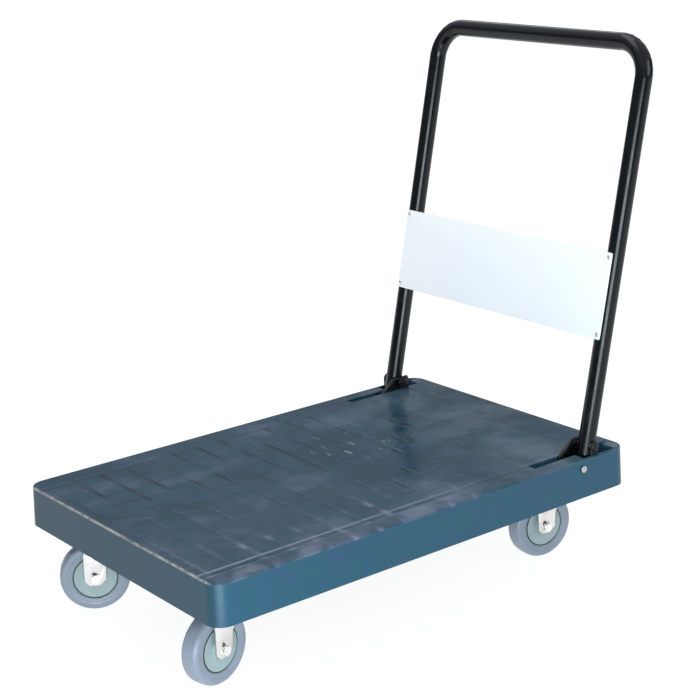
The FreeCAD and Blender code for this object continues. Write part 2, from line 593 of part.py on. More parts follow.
def make_kingpin():
    """Rivet that holds the fork under the plate."""
    crown_under = CROWN_TOP - CROWN_STEEL
    return joined([
        rod(KINGPIN_RADIUS, (0, 0, crown_under - 2), (0, 0, CASTER_SEAT)),
        rod(KINGPIN_RADIUS + 4, (0, 0, crown_under - SLIP - 3.5), (0, 0, crown_under - SLIP)),
        rod(KINGPIN_RADIUS + 3, (0, 0, CASTER_SEAT), (0, 0, CASTER_SEAT + 2)),
    ])


def make_swivel_balls():
    balls = []
    for k in range(BALL_COUNT):
        angle = 2 * math.pi * k / BALL_COUNT
        balls.append(Part.makeSphere(BALL_RADIUS, Vector(RACE_RADIUS * math.cos(angle),
                                                         RACE_RADIUS * math.sin(angle), RACE_Z)))
    return Part.makeCompound(balls)


def make_fork():
    inner = FORK_INNER_WIDTH / 2
    outer = inner + FORK_STEEL
    back = -TRAIL - 19
    nose = 14.0
    under = CROWN_TOP - CROWN_STEEL
    crown = joined([
        rod(CROWN_RADIUS, (0, 0, under), (0, 0, CROWN_TOP)),
        block(back, nose, -outer, outer, under, CROWN_TOP),
    ])
    outline = [(back, CROWN_TOP), (back, WHEEL_RADIUS - 3), (back + 8, WHEEL_RADIUS - 12),
               (-TRAIL + 8, WHEEL_RADIUS - 12), (-TRAIL + 19, WHEEL_RADIUS - 2),
               (-TRAIL + 20, WHEEL_RADIUS + 26), (nose, CROWN_TOP - 14), (nose, CROWN_TOP)]
    legs = [plate_xz(outline, *span_y(side, inner, outer)) for side in (-1, 1)]
    body = joined([crown] + legs)
    cuts = [rod(KINGPIN_RADIUS + RUNNING, (0, 0, under - 1), (0, 0, CROWN_TOP + 1)),
            rod(AXLE_RADIUS, (-TRAIL, -outer - 1, WHEEL_RADIUS), (-TRAIL, outer + 1, WHEEL_RADIUS)),
            Part.makeTorus(RACE_RADIUS, BALL_RADIUS + 0.15, Vector(0, 0, RACE_Z))]
    return body.cut(cuts)


def make_axle_bolt():
    outer = FORK_INNER_WIDTH / 2 + FORK_STEEL
    shank = rod(AXLE_RADIUS, (-TRAIL, -outer - 1, WHEEL_RADIUS), (-TRAIL, outer + 11, WHEEL_RADIUS))
    head = hexagon(16, (-TRAIL, -outer, WHEEL_RADIUS), 6.4, (0, -1, 0))
    return joined([shank, head])


def make_axle_nut():
    outer = FORK_INNER_WIDTH / 2 + FORK_STEEL
    nut = hexagon(16, (-TRAIL, outer, WHEEL_RADIUS), 9.5, (0, 1, 0))
    return nut.cut(rod(AXLE_RADIUS, (-TRAIL, outer - 1, WHEEL_RADIUS), (-TRAIL, outer + 12, WHEEL_RADIUS)))


def make_axle_sleeve():
    """Steel tube clamped between the fork's legs; the bearings run on it."""
    inner = FORK_INNER_WIDTH / 2
    sleeve = rod(SLEEVE_RADIUS, (-TRAIL, -inner, WHEEL_RADIUS), (-TRAIL, inner, WHEEL_RADIUS))
    return sleeve.cut(rod(AXLE_RADIUS, (-TRAIL, -inner - 1, WHEEL_RADIUS), (-TRAIL, inner + 1, WHEEL_RADIUS)))


def make_hub():
    """Moulded wheel centre: dished web, raised boss and bearing seats at both ends."""
    half = HUB_WIDTH / 2
    face = TYRE_WIDTH / 2 - 1.5
    seat = half - BEARING_WIDTH
    profile = [
        (SLEEVE_RADIUS + 3, -seat), (BEARING_RADIUS, -seat), (BEARING_RADIUS, -half),
        (BEARING_RADIUS + 4, -half),
        (BEARING_RADIUS + 6, -face + 1), (HUB_RADIUS - 4, -face), (HUB_RADIUS - 3, -face + 2),
        (HUB_RADIUS - 1.5, -face + 2), (HUB_RADIUS, -face + 1),
        (HUB_RADIUS, face - 1), (HUB_RADIUS - 1.5, face - 2),
        (HUB_RADIUS - 3, face - 2), (HUB_RADIUS - 4, face), (BEARING_RADIUS + 6, face - 1),
        (BEARING_RADIUS + 4, half), (BEARING_RADIUS, half), (BEARING_RADIUS, seat), (SLEEVE_RADIUS + 3, seat),
    ]
    return revolved(profile, Vector(-TRAIL, 0, WHEEL_RADIUS))


def make_tyre():
    """Solid rubber ring with round shoulders."""
    half = TYRE_WIDTH / 2
    ring = revolved([(HUB_RADIUS, -half + 1), (WHEEL_RADIUS - 7, -half), (WHEEL_RADIUS, -half),
                     (WHEEL_RADIUS, half), (WHEEL_RADIUS - 7, half), (HUB_RADIUS, half - 1)],
                    Vector(-TRAIL, 0, WHEEL_RADIUS))
    shoulders = [e for e in ring.Edges if abs(e.BoundBox.ZLength - 2 * WHEEL_RADIUS) < 0.01]
    return ring.makeFillet(min(8.0, half / 2), shoulders)


def make_bearings():
    half = HUB_WIDTH / 2
    rings = []
    for side in (-1, 1):
        lo, hi = span_y(side, half - BEARING_WIDTH, half)
        bore = SLEEVE_RADIUS + RUNNING
        recess = 0.8
        outer_face, inner_face = (hi, lo) if side > 0 else (lo, hi)
        dip = outer_face - side * recess
        rings.append(revolved([(bore, inner_face), (bore, outer_face),
                               (bore + 2, outer_face), (bore + 2.4, dip),
                               (BEARING_RADIUS - 2.2, dip), (BEARING_RADIUS - 1.8, outer_face),
                               (BEARING_RADIUS, outer_face), (BEARING_RADIUS, inner_face)],
                              Vector(-TRAIL, 0, WHEEL_RADIUS)))
    return Part.makeCompound(rings)


def make_caster_bolts():
    shapes = []
    under = CASTER_SEAT - CASTER_PLATE_STEEL
    for name in CASTERS:
        for x, y in bolt_places(name):
            head = hexagon(13, (x, y, under - 5.3), 5.3, (0, 0, 1))
            shank = rod(CASTER_BOLT_RADIUS, (x, y, under - 1), (x, y, CASTER_SEAT + 16))
            shapes.append(joined([head, shank]))
    return Part.makeCompound(shapes)


def make_caster_inserts():
    """Threaded steel sleeves set in the deck's bosses."""
    shapes = []
    for name in CASTERS:
        for x, y in bolt_places(name):
            sleeve = rod(CASTER_BOLT_RADIUS + 2.5, (x, y, CASTER_SEAT), (x, y, CASTER_SEAT + INSERT_HEIGHT))
            drill = rod(CASTER_BOLT_RADIUS, (x, y, CASTER_SEAT - 1), (x, y, CASTER_SEAT + 17))
            shapes.append(sleeve.cut(drill))
    return Part.makeCompound(shapes)


SWIVELLING = {
    "swivel_balls": make_swivel_balls,
    "fork": make_fork,
    "axle_bolt": make_axle_bolt,
    "axle_nut": make_axle_nut,
    "axle_sleeve": make_axle_sleeve,
    "wheel_hub": make_hub,
    "tyre": make_tyre,
    "wheel_bearings": make_bearings,
}
FIXED = {
    "caster_plate": make_caster_plate,
    "kingpin": make_kingpin,
}


def save_casters():
    for place, (_, _, swivel) in CASTERS.items():
        cx, cy = caster_centre(place)
        for group, angle in ((SWIVELLING, swivel), (FIXED, 0.0)):
            for piece, make in group.items():
                shape = make()
                shape.rotate(Vector(0, 0, 0), Vector(0, 0, 1), angle)
                shape.translate(Vector(cx, cy, 0))
                save(piece + "_" + place, shape)


def main():
    os.makedirs("parts", exist_ok=True)
    save("deck", make_deck())
    save("hinge_bracket_right", make_bracket(-1))
    save("hinge_bracket_left", make_bracket(1))
    save("bracket_screws", make_bracket_screws())
    save("stop_rod", make_stop_rod())
    save("stop_rod_caps", both_sides(make_rod_cap))
    save("stop_buffers", both_sides(make_stop_buffer))
    save("pivot_bolts", both_sides(make_pivot_bolt))
    save("pivot_nuts", both_sides(make_pivot_nut))
    save("handle_tube", make_handle_tube())
    save("pivot_bushes", both_sides(make_pivot_bush))
    save("handle_end_plugs", both_sides(make_end_plug))
    save("sign_plate", make_sign_plate())
    save("sign_plate_screws", make_sign_plate_screws())
    save("lock_bar", make_lock_bar())
    save("lock_pedal", make_pedal())
    save("lock_springs", both_sides(make_lock_spring))
    save("caster_bolts", make_caster_bolts())
    save("caster_inserts", make_caster_inserts())
    save_casters()


main()
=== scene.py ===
import json
import math

import bmesh
import bpy
import numpy as np
from mathutils import Matrix, Vector


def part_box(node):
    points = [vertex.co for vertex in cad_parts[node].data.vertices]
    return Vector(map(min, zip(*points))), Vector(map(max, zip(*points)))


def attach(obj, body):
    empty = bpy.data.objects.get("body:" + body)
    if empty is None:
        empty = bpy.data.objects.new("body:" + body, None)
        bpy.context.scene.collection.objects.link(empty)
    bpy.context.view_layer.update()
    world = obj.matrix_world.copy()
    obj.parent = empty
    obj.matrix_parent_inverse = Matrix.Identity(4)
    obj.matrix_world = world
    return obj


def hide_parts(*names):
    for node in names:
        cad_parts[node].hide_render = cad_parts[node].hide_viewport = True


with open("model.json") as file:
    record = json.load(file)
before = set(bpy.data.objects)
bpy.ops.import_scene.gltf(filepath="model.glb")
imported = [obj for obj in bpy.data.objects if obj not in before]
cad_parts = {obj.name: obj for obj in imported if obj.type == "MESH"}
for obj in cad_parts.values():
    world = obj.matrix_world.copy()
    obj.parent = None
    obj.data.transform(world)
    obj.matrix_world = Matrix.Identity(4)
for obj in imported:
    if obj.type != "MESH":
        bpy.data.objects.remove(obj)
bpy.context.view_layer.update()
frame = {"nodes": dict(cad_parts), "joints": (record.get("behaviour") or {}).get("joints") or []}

# ---- Studio -----------------------------------------------------------------
# A pale seamless floor. A large soft box behind the camera lights the near side,
# others stand right, beyond and above, and a small low one edges the front corner.
FLOOR_HALF = 24.0
FLOOR_LEVEL = -0.0006
CAMERA_PLACE = Vector((-1.77295, -2.2755, 1.2861))
CAMERA_TURN = math.radians(-38.076)
CAMERA_PITCH = math.radians(16.509)
CAMERA_ROLL = math.radians(-1.978)
LENS = 86.165
BODY_AIM = (0.0, 0.0, 0.35)
CORNER_AIM = (-0.49, -0.29, 0.15)
SOFT_BOXES = {
    "soft_box_near": ((-3.4, -4.3, 0.85), BODY_AIM, (3.1, 1.6), 172.0, (0.80, 0.93, 1.0)),
    "soft_box_right": ((1.6, -3.8, 2.4), BODY_AIM, (2.4, 1.8), 52.0, (0.90, 0.96, 1.0)),
    "soft_box_far": ((2.5, 3.2, 3.1), BODY_AIM, (2.4, 0.8), 11.0, (0.93, 0.92, 1.0)),
    "soft_box_over": ((-0.2, 0.6, 3.4), BODY_AIM, (2.6, 1.4), 26.0, (1.0, 1.0, 1.0)),
    "soft_box_low": ((-0.83, -0.73, 0.066), CORNER_AIM, (0.50, 0.10), 3.0, (0.86, 0.94, 1.0)),
}
SKY = ((0.0, (0.10, 0.11, 0.12)), (0.20, (0.25, 0.26, 0.28)), (0.34, (0.36, 0.37, 0.41)),
       (0.50, (0.66, 0.68, 0.75)), (1.0, (0.86, 0.88, 0.92)))
SKY_SEEN = (0.90, 0.91, 0.92)

scene = bpy.context.scene
scene.view_settings.view_transform = "Standard"


def add(tree, kind, settings=None, **inputs):
    """One node. An input is a number, a colour or the output that feeds it; _0, _1 are inputs by place."""
    node = tree.nodes.new(kind)
    for key, value in (settings or {}).items():
        setattr(node, key, value)
    for key, value in inputs.items():
        socket = node.inputs[int(key[1:])] if key[0] == "_" else node.inputs[key.replace("_", " ")]
        if isinstance(value, bpy.types.NodeSocket):
            tree.links.new(value, socket)
        else:
            socket.default_value = value
    return node


def maths(tree, operation, a, b=0.0, c=0.0):
    return add(tree, "ShaderNodeMath", {"operation": operation}, _0=a, _1=b, _2=c).outputs[0]


def new_material(name, **shader_inputs):
    """A material with its shader's fixed numbers set, its node tree and the place on the piece."""
    material = bpy.data.materials.new(name)
    material.use_nodes = True
    tree = material.node_tree
    shader = tree.nodes["Principled BSDF"]
    for key, value in shader_inputs.items():
        shader.inputs[key.replace("_", " ")].default_value = value
    spot = add(tree, "ShaderNodeTexCoord").outputs["Object"]
    return material, tree, shader, spot


def noise(tree, spot, scale, detail=3.0, roughness=0.5):
    return add(tree, "ShaderNodeTexNoise", Vector=spot, Scale=scale, Detail=detail,
               Roughness=roughness).outputs[0]


def ramp(tree, factor, *stops):
    """Colours (or greys) along a factor: stops are (place, colour)."""
    node = tree.nodes.new("ShaderNodeValToRGB")
    tree.links.new(factor, node.inputs[0])
    elements = node.color_ramp.elements
    while len(elements) < len(stops):
        elements.new(0.5)
    for element, (place, colour) in zip(elements, stops):
        element.position = place
        element.color = (*colour, 1.0) if isinstance(colour, tuple) else (colour, colour, colour, 1.0)
    return node.outputs["Color"]


def between(tree, value, low, high, to_low=0.0, to_high=1.0):
    """A smooth step from one level to another as value passes from low to high."""
    node = add(tree, "ShaderNodeMapRange", {"interpolation_type": "SMOOTHSTEP", "clamp": True},
               Value=value, From_Min=low, From_Max=high, To_Min=to_low, To_Max=to_high)
    return node.outputs["Result"]


def mixed(tree, factor, first, second):
    node = tree.nodes.new("ShaderNodeMix")
    node.data_type = "RGBA"
    for socket, value in ((node.inputs[0], factor), (node.inputs[6], first), (node.inputs[7], second)):
        if isinstance(value, bpy.types.NodeSocket):
            tree.links.new(value, socket)
        else:
            socket.default_value = (*value, 1.0) if isinstance(value, tuple) else value
    return node.outputs[2]


def bump(tree, height, distance, strength=1.0, normal=None):
    node = add(tree, "ShaderNodeBump", Height=height, Distance=distance, Strength=strength)
    if normal is not None:
        tree.links.new(normal, node.inputs["Normal"])
    return node.outputs["Normal"]


floor_material, tree, shader, spot = new_material("studio_floor", Roughness=0.75, Emission_Strength=0.92)
shader.inputs["Emission Color"].default_value = (1.0, 1.0, 1.0, 1.0)
tree.links.new(mixed(tree, noise(tree, spot, 0.6), (0.135, 0.135, 0.135), (0.15, 0.15, 0.15)),
               shader.inputs["Base Color"])
floor_mesh = bpy.data.meshes.new("studio_floor")
corners = [(sx * FLOOR_HALF, sy * FLOOR_HALF, FLOOR_LEVEL) for sx, sy in ((-1, -1), (1, -1), (1, 1), (-1, 1))]
floor_mesh.from_pydata(corners, [], [(0, 1, 2, 3)])
floor_mesh.materials.append(floor_material)
floor = bpy.data.objects.new("studio_floor", floor_mesh)
scene.collection.objects.link(floor)

world = bpy.data.worlds.new("studio_sky")
world.use_nodes = True
scene.world = world
sky = world.node_tree
direction = add(sky, "ShaderNodeTexCoord").outputs["Generated"]
height = add(sky, "ShaderNodeSeparateXYZ", _0=direction).outputs["Z"]
seen = add(sky, "ShaderNodeLightPath").outputs["Is Camera Ray"]
sky_colour = mixed(sky, seen, ramp(sky, height, *SKY), SKY_SEEN)
sky.links.new(sky_colour, sky.nodes["Background"].inputs["Color"])

for name, (place, aim, size, power, colour) in SOFT_BOXES.items():
    light = bpy.data.lights.new(name, "AREA")
    light.shape = "RECTANGLE"
    light.size, light.size_y = size
    light.energy = power
    light.color = colour
    lamp = bpy.data.objects.new(name, light)
    scene.collection.objects.link(lamp)
    lamp.visible_camera = False
    lamp.matrix_world = (Matrix.Translation(place)
                         @ (Vector(aim) - Vector(place)).to_track_quat("-Z", "Y").to_matrix().to_4x4())

back = Vector((math.sin(CAMERA_TURN) * math.cos(CAMERA_PITCH),
               -math.cos(CAMERA_TURN) * math.cos(CAMERA_PITCH), math.sin(CAMERA_PITCH)))
right = (-back).cross(Vector((0, 0, 1))).normalized()
upward = right.cross(-back)
rolled_right = right * math.cos(CAMERA_ROLL) + upward * math.sin(CAMERA_ROLL)
rolled_up = -right * math.sin(CAMERA_ROLL) + upward * math.cos(CAMERA_ROLL)
camera_data = bpy.data.cameras.new("camera")
camera_data.lens = LENS
camera_data.sensor_width = 36.0
camera_data.clip_end = 100.0
camera = bpy.data.objects.new("camera", camera_data)
scene.collection.objects.link(camera)
turn = Matrix((rolled_right, rolled_up, back)).transposed()
camera.matrix_world = Matrix.Translation(CAMERA_PLACE) @ turn.to_4x4()
scene.camera = camera

# ---- Deck -------------------------------------------------------------------
# One injection moulding in slate-blue polypropylene, ribbed underneath. The ribs
# and the gates along the middle show on the glossy top as shallow sink marks.
DECK_BLUE = (0.012, 0.050, 0.083)
# a lighter, bluer copy of the top's colour for the flanks: painted light on the sides
DECK_SIDE_PAINTED_LIT = (0.015, 0.068, 0.112)
# dark colour for random grimy patches and for painted shade in the sinks
DECK_GRIME_AND_SHADE = (0.003, 0.011, 0.020)
# pale colour for random rubbed patches and for a painted highlight along the near rim
DECK_RUBBED_AND_HIGHLIGHT = (0.155, 0.175, 0.255)
DECK_DUST = (0.095, 0.140, 0.160)
# darker colour for the loading end's face: painted shade
DECK_END_PAINTED_SHADE = (0.014, 0.040, 0.062)
# pale colour for painted highlights: glints over the middle and a line along the lip
DECK_PAINTED_HIGHLIGHT = (0.32, 0.30, 0.27)
RIB_PITCH_X = 0.0522
RIB_START_X = -0.014
RIB_PITCH_Y = 0.0496
GATE_PITCH = 0.178
GATE_START = -0.398
GATE_Y = 0.006
GATE_SQUASH = 1.4
GATE_RAYS = 8
SINK_DEPTH = 0.00034
TOP_LEVEL = 0.224
DECK_HALF_WIDTH = 0.298
DECK_FRONT = -0.50235
RIM_INSET = 0.046
# place, stretch and turn of the painted glints on the top
GLINT_PLACE = (0.050, 0.060, TOP_LEVEL)
GLINT_SCALE = (110.0, 30.0, 30.0)
GLINT_TURN = 0.45


def groove(tree, distance, width):
    """1 on a line and 0 away from it, for a distance in metres."""
    return between(tree, distance, 0.0, width, 1.0, 0.0)


def off_line(tree, coordinate, pitch, start):
    """Distance to the nearest of a row of evenly spaced lines."""
    return maths(tree, "PINGPONG", maths(tree, "SUBTRACT", coordinate, start), pitch / 2)


def product(tree, first, *others):
    for other in others:
        first = maths(tree, "MULTIPLY", first, other)
    return first


def gate_rays(tree, x, y):
    """Star-shaped flow lines round the gates, which stand in a row along the middle."""
    gate_x = maths(tree, "WRAP", maths(tree, "SUBTRACT", x, GATE_START), GATE_PITCH / 2, -GATE_PITCH / 2)
    gate_y = maths(tree, "MULTIPLY", maths(tree, "SUBTRACT", y, GATE_Y), GATE_SQUASH)
    reach = maths(tree, "SQRT", maths(tree, "ADD", maths(tree, "MULTIPLY", gate_x, gate_x),
                                      maths(tree, "MULTIPLY", gate_y, gate_y)))
    angle = maths(tree, "ARCTAN2", gate_y, gate_x)
    off_ray = product(tree, maths(tree, "PINGPONG", angle, math.pi / GATE_RAYS), reach)
    return product(tree, groove(tree, off_ray, 0.0085), between(tree, reach, 0.020, 0.150, 1.0, 0.0))


def paint_deck(deck):
    material, tree, shader, spot = new_material("deck_plastic", Specular_IOR_Level=0.22, IOR=1.5)
    x, y, z = add(tree, "ShaderNodeSeparateXYZ", _0=spot).outputs
    on_top = between(tree, z, TOP_LEVEL - 0.004, TOP_LEVEL - 0.0015)
    patchy = between(tree, noise(tree, spot, 9.0, 2.0), 0.40, 0.60, 0.15, 1.0)
    broken = between(tree, noise(tree, spot, 17.0, 2.0), 0.44, 0.58)
    across = off_line(tree, x, RIB_PITCH_X, RIB_START_X)
    along = off_line(tree, y, RIB_PITCH_Y, 0.0)
    from_edge = maths(tree, "SUBTRACT", DECK_HALF_WIDTH, maths(tree, "ABSOLUTE", y))
    inside = between(tree, from_edge, RIM_INSET - 0.004, RIM_INSET + 0.008)
    cross_ribs = product(tree, groove(tree, across, 0.0085), patchy, inside)
    long_ribs = product(tree, groove(tree, along, 0.0070), broken, inside)
    rays = gate_rays(tree, x, y)
    # a shallow channel inside the long rims; outside it the rim waves where the ribs meet it
    channel = groove(tree, maths(tree, "ABSOLUTE", maths(tree, "SUBTRACT", from_edge, RIM_INSET)), 0.009)
    on_rim = between(tree, from_edge, RIM_INSET - 0.014, RIM_INSET - 0.006, 1.0, 0.0)
    rim_wave = product(tree, on_rim,
                       maths(tree, "ADD", groove(tree, across, 0.020), noise(tree, spot, 14.0, 1.0)))
    height = maths(tree, "MULTIPLY_ADD", cross_ribs, -1.0, maths(tree, "MULTIPLY", rays, -0.5))
    height = maths(tree, "MULTIPLY_ADD", long_ribs, -0.4, height)
    height = maths(tree, "MULTIPLY_ADD", channel, -1.1, height)
    height = maths(tree, "MULTIPLY_ADD", rim_wave, -1.0, height)
    height = maths(tree, "MULTIPLY_ADD", noise(tree, spot, 5.0, 1.0), 5.0, height)
    sunk = bump(tree, maths(tree, "MULTIPLY", height, on_top), SINK_DEPTH)
    grained = bump(tree, noise(tree, spot, 900.0, 2.0), 0.00002, 0.6, sunk)
    tree.links.new(grained, shader.inputs["Normal"])

    # colour: cloudy pigment, the flanks painted lighter than the top as painted light, painted shade in the
    # sinks of the left half, a painted highlight along the right rim
    cloud = noise(tree, spot, 26.0, 5.0, 0.62)
    colour = ramp(tree, cloud, (0.34, (0.010, 0.057, 0.080)), (0.50, DECK_BLUE),
                  (0.66, (0.017, 0.049, 0.088)))
    # the flanks get a lighter, bluer colour than the top: painted light on the sides
    flank = ramp(tree, cloud, (0.36, (0.014, 0.072, 0.104)), (0.50, DECK_SIDE_PAINTED_LIT), (0.64, (0.018, 0.064, 0.114)))
    # the loading end's face is painted darker: painted shade on the end face
    flank = mixed(tree, between(tree, x, DECK_FRONT + 0.003, DECK_FRONT + 0.012, 0.8, 0.0), flank, DECK_END_PAINTED_SHADE)
    colour = mixed(tree, on_top, flank, colour)
    # broad patches where the top is handled: some grimy, some rubbed lighter
    patches = noise(tree, spot, 6.5, 5.0, 0.62)
    colour = mixed(tree, product(tree, between(tree, patches, 0.50, 0.36), on_top, 0.30), colour, DECK_GRIME_AND_SHADE)
    colour = mixed(tree, product(tree, between(tree, patches, 0.50, 0.66), on_top, 0.26), colour, DECK_RUBBED_AND_HIGHLIGHT)
    # painted shade: the sinks of the left half are darkened in the colour
    left_half = between(tree, y, -0.05, 0.06, 0.12, 1.0)
    streaked = maths(tree, "MAXIMUM", cross_ribs,
                     maths(tree, "MULTIPLY", maths(tree, "MAXIMUM", long_ribs, rays), 0.5))
    painted_sink_shade = product(tree, streaked, left_half, on_top, 0.85)
    colour = mixed(tree, painted_sink_shade, colour, DECK_GRIME_AND_SHADE)
    # painted highlight: pale marks on the rib crossings, the ridge and the rim along the right side
    rim_side = product(tree, between(tree, y, -0.215, -0.125, 1.0, 0.0),
                       between(tree, x, -0.08, 0.12, 1.0, 0.12))
    crossings = product(tree, groove(tree, across, 0.010), between(tree, along, 0.005, 0.018, 1.0, 0.25),
                        between(tree, noise(tree, spot, 11.0, 2.0), 0.40, 0.58, 0.15, 1.0))
    off_ridge = maths(tree, "ABSOLUTE", maths(tree, "SUBTRACT", from_edge, RIM_INSET + 0.006))
    ridge = groove(tree, off_ridge, 0.0035)
    rim_highlight_patches = product(tree, on_rim, between(tree, noise(tree, spot, 15.0, 3.0), 0.46, 0.62), 0.6)
    painted_rim_highlight = maths(tree, "MAXIMUM", crossings, maths(tree, "MAXIMUM", ridge, rim_highlight_patches))
    painted_rim_highlight = product(tree, painted_rim_highlight, rim_side, on_top, 0.85)
    colour = mixed(tree, painted_rim_highlight, colour, DECK_RUBBED_AND_HIGHLIGHT)
    dusty = product(tree, between(tree, x, 0.04, 0.30),
                    between(tree, noise(tree, spot, 12.0, 5.0, 0.6), 0.35, 0.65), on_top, 0.48)
    colour = mixed(tree, dusty, colour, DECK_DUST)
    # painted glints: pale streaks over the middle of the top
    glint_stretch = add(tree, "ShaderNodeMapping", Vector=spot, Rotation=(0.0, 0.0, GLINT_TURN), Scale=GLINT_SCALE)
    streaks = add(tree, "ShaderNodeTexNoise", Scale=1.0, Detail=2.0, Vector=glint_stretch.outputs[0])
    to_glints = add(tree, "ShaderNodeVectorMath", {"operation": "DISTANCE"}, _0=spot, _1=GLINT_PLACE)
    painted_glints = product(tree, between(tree, streaks.outputs[0], 0.64, 0.72), on_top,
                     between(tree, to_glints.outputs["Value"], 0.04, 0.13, 0.60, 0.0))
    colour = mixed(tree, painted_glints, colour, DECK_PAINTED_HIGHLIGHT)
    # a painted highlight along the lip at the loading end
    at_lip = product(tree, between(tree, x, DECK_FRONT + 0.0026, DECK_FRONT + 0.0062, 1.0, 0.0),
                     between(tree, z, TOP_LEVEL - 0.0045, TOP_LEVEL - 0.0020),
                     between(tree, noise(tree, spot, 60.0, 4.0), 0.30, 0.60, 0.25, 0.95))
    tree.links.new(mixed(tree, at_lip, colour, DECK_PAINTED_HIGHLIGHT), shader.inputs["Base Color"])
    rough = between(tree, noise(tree, spot, 22.0, 5.0), 0.25, 0.75, 0.13, 0.27)
    tree.links.new(maths(tree, "MAXIMUM", rough, between(tree, on_top, 0.0, 1.0, 0.34, 0.0)),
                   shader.inputs["Roughness"])
    deck.data.materials.clear()
    deck.data.materials.append(material)


paint_deck(frame["nodes"]["deck"])

# ---- Handle tube ------------------------------------------------------------
# One 32 mm steel tube bent into a U, gloss black. The bender leaves the inside
# of each bend slightly gathered and the outside drawn a little flat.
PIVOT = Vector((0.335649, 0.0, 0.239))
PIVOT_HOLE_RADIUS = 0.008
PIVOT_HOLE_LENGTH = 0.7
LEAN = math.radians(12.0)
LEG_Y = 0.273
TUBE_RADIUS = 0.016
TUBE_BORE = 0.0144
HEEL = 0.052
BEND_RADIUS = 0.062
TOP_UP = (0.740 - 0.015 - TUBE_RADIUS) / math.cos(LEAN)
TUBE_SIDES = 56
GATHER_DEPTH = 0.00028
GATHER_WAVES = 30.0
LEANED = Matrix.Translation(PIVOT) @ Matrix.Rotation(LEAN, 4, "Y")


def painted_steel(name, colour, roughness, chips):
    """Stoved paint: a little orange peel, dulled patches and small bare nicks."""
    material, tree, shader, spot = new_material(name, Specular_IOR_Level=0.30)
    peel = bump(tree, noise(tree, spot, 420.0, 2.0), 0.00003, 0.5)
    tree.links.new(peel, shader.inputs["Normal"])
    nicks = between(tree, noise(tree, spot, 230.0, 5.0, 0.7), 0.735 - chips, 0.745 - chips)
    bare = maths(tree, "MULTIPLY", nicks, between(tree, noise(tree, spot, 16.0, 2.0), 0.55, 0.60))
    shade = ramp(tree, noise(tree, spot, 30.0, 4.0), (0.35, colour), (0.75, tuple(1.5 * c for c in colour)))
    tree.links.new(mixed(tree, bare, shade, (0.30, 0.31, 0.33)), shader.inputs["Base Color"])
    tree.links.new(maths(tree, "MULTIPLY", bare, 0.9), shader.inputs["Metallic"])
    dull = between(tree, noise(tree, spot, 45.0, 6.0), 0.35, 0.75, roughness, roughness + 0.10)
    tree.links.new(dull, shader.inputs["Roughness"])
    return material


def tube_stations():
    """Centre, inward direction of the bend, and share of bending, along the tube from heel to heel."""
    bend_start = TOP_UP - BEND_RADIUS
    half = []
    for u in np.concatenate([[-HEEL], np.arange(-HEEL + 0.01, bend_start, 0.02)]):
        half.append((Vector((0, -LEG_Y, u)), Vector((0, 0, 1)), 0.0, 0.0))
    for t in np.linspace(0, math.pi / 2, 49):
        at = Vector((0, -LEG_Y + BEND_RADIUS * (1 - math.cos(t)), bend_start + BEND_RADIUS * math.sin(t)))
        share = max(0.0, math.sin(2 * t)) ** 0.5
        half.append((at, Vector((0, math.sin(t), math.cos(t))), share, t))
    run = LEG_Y - BEND_RADIUS
    for y in np.linspace(-run, 0, 16)[1:]:
        half.append((Vector((0, y, TOP_UP)), Vector((0, 1, 0)), 0.0, 0.0))
    mirrored = [(Vector((0, -p.y, p.z)), Vector((0, d.y, -d.z)), share, t)
                for p, d, share, t in reversed(half[:-1])]
    return half + mirrored


def tube_ring(at, along, share, t, radius, gathered):
    outward = along.cross(Vector((1, 0, 0)))
    ring = []
    for k in range(TUBE_SIDES):
        a = 2 * math.pi * k / TUBE_SIDES
        inside = max(0.0, -math.cos(a)) ** 2
        gather = GATHER_DEPTH * inside * share * math.sin(t * GATHER_WAVES) if gathered else 0.0
        flat = 1.0 - 0.022 * share * max(0.0, math.cos(a)) ** 2
        wide = 1.0 + 0.012 * share * abs(math.sin(a))
        ring.append(at + outward * math.cos(a) * (radius * flat + gather)
                    + Vector((math.sin(a) * radius * wide, 0, 0)))
    return ring


def link_piece(name, mesh, material=None):
    piece = bpy.data.objects.new(name, mesh)
    scene.collection.objects.link(piece)
    if material is not None:
        mesh.materials.clear()
        mesh.materials.append(material)
    return piece


def soft_shading(mesh, angle=35.0):
    mesh.polygons.foreach_set("use_smooth", [True] * len(mesh.polygons))
    mesh.set_sharp_from_angle(angle=math.radians(angle))


def outward_faces(mesh):
    """Turns every face to look out of the solid."""
    work = bmesh.new()
    work.from_mesh(mesh)
    bmesh.ops.recalc_face_normals(work, faces=work.faces)
    work.to_mesh(mesh)
    work.free()


def closed_rings(name, rings):
    """A ring-shaped skin through rings of points, the last joined to the first."""
    sides = len(rings[0])
    points = [p for ring in rings for p in ring]
    faces = []
    for i in range(len(rings)):
        j = (i + 1) % len(rings)
        for k in range(sides):
            n = (k + 1) % sides
            faces.append((i * sides + k, i * sides + n, j * sides + n, j * sides + k))
    mesh = bpy.data.meshes.new(name)
    mesh.from_pydata(points, [], faces)
    outward_faces(mesh)
    return mesh


def finished_mesh(piece):
    """The piece's mesh with its modifiers applied; the modifiers are then removed."""
    graph = bpy.context.evaluated_depsgraph_get()
    mesh = bpy.data.meshes.new_from_object(piece.evaluated_get(graph))
    piece.modifiers.clear()
    piece.data = mesh
    return mesh


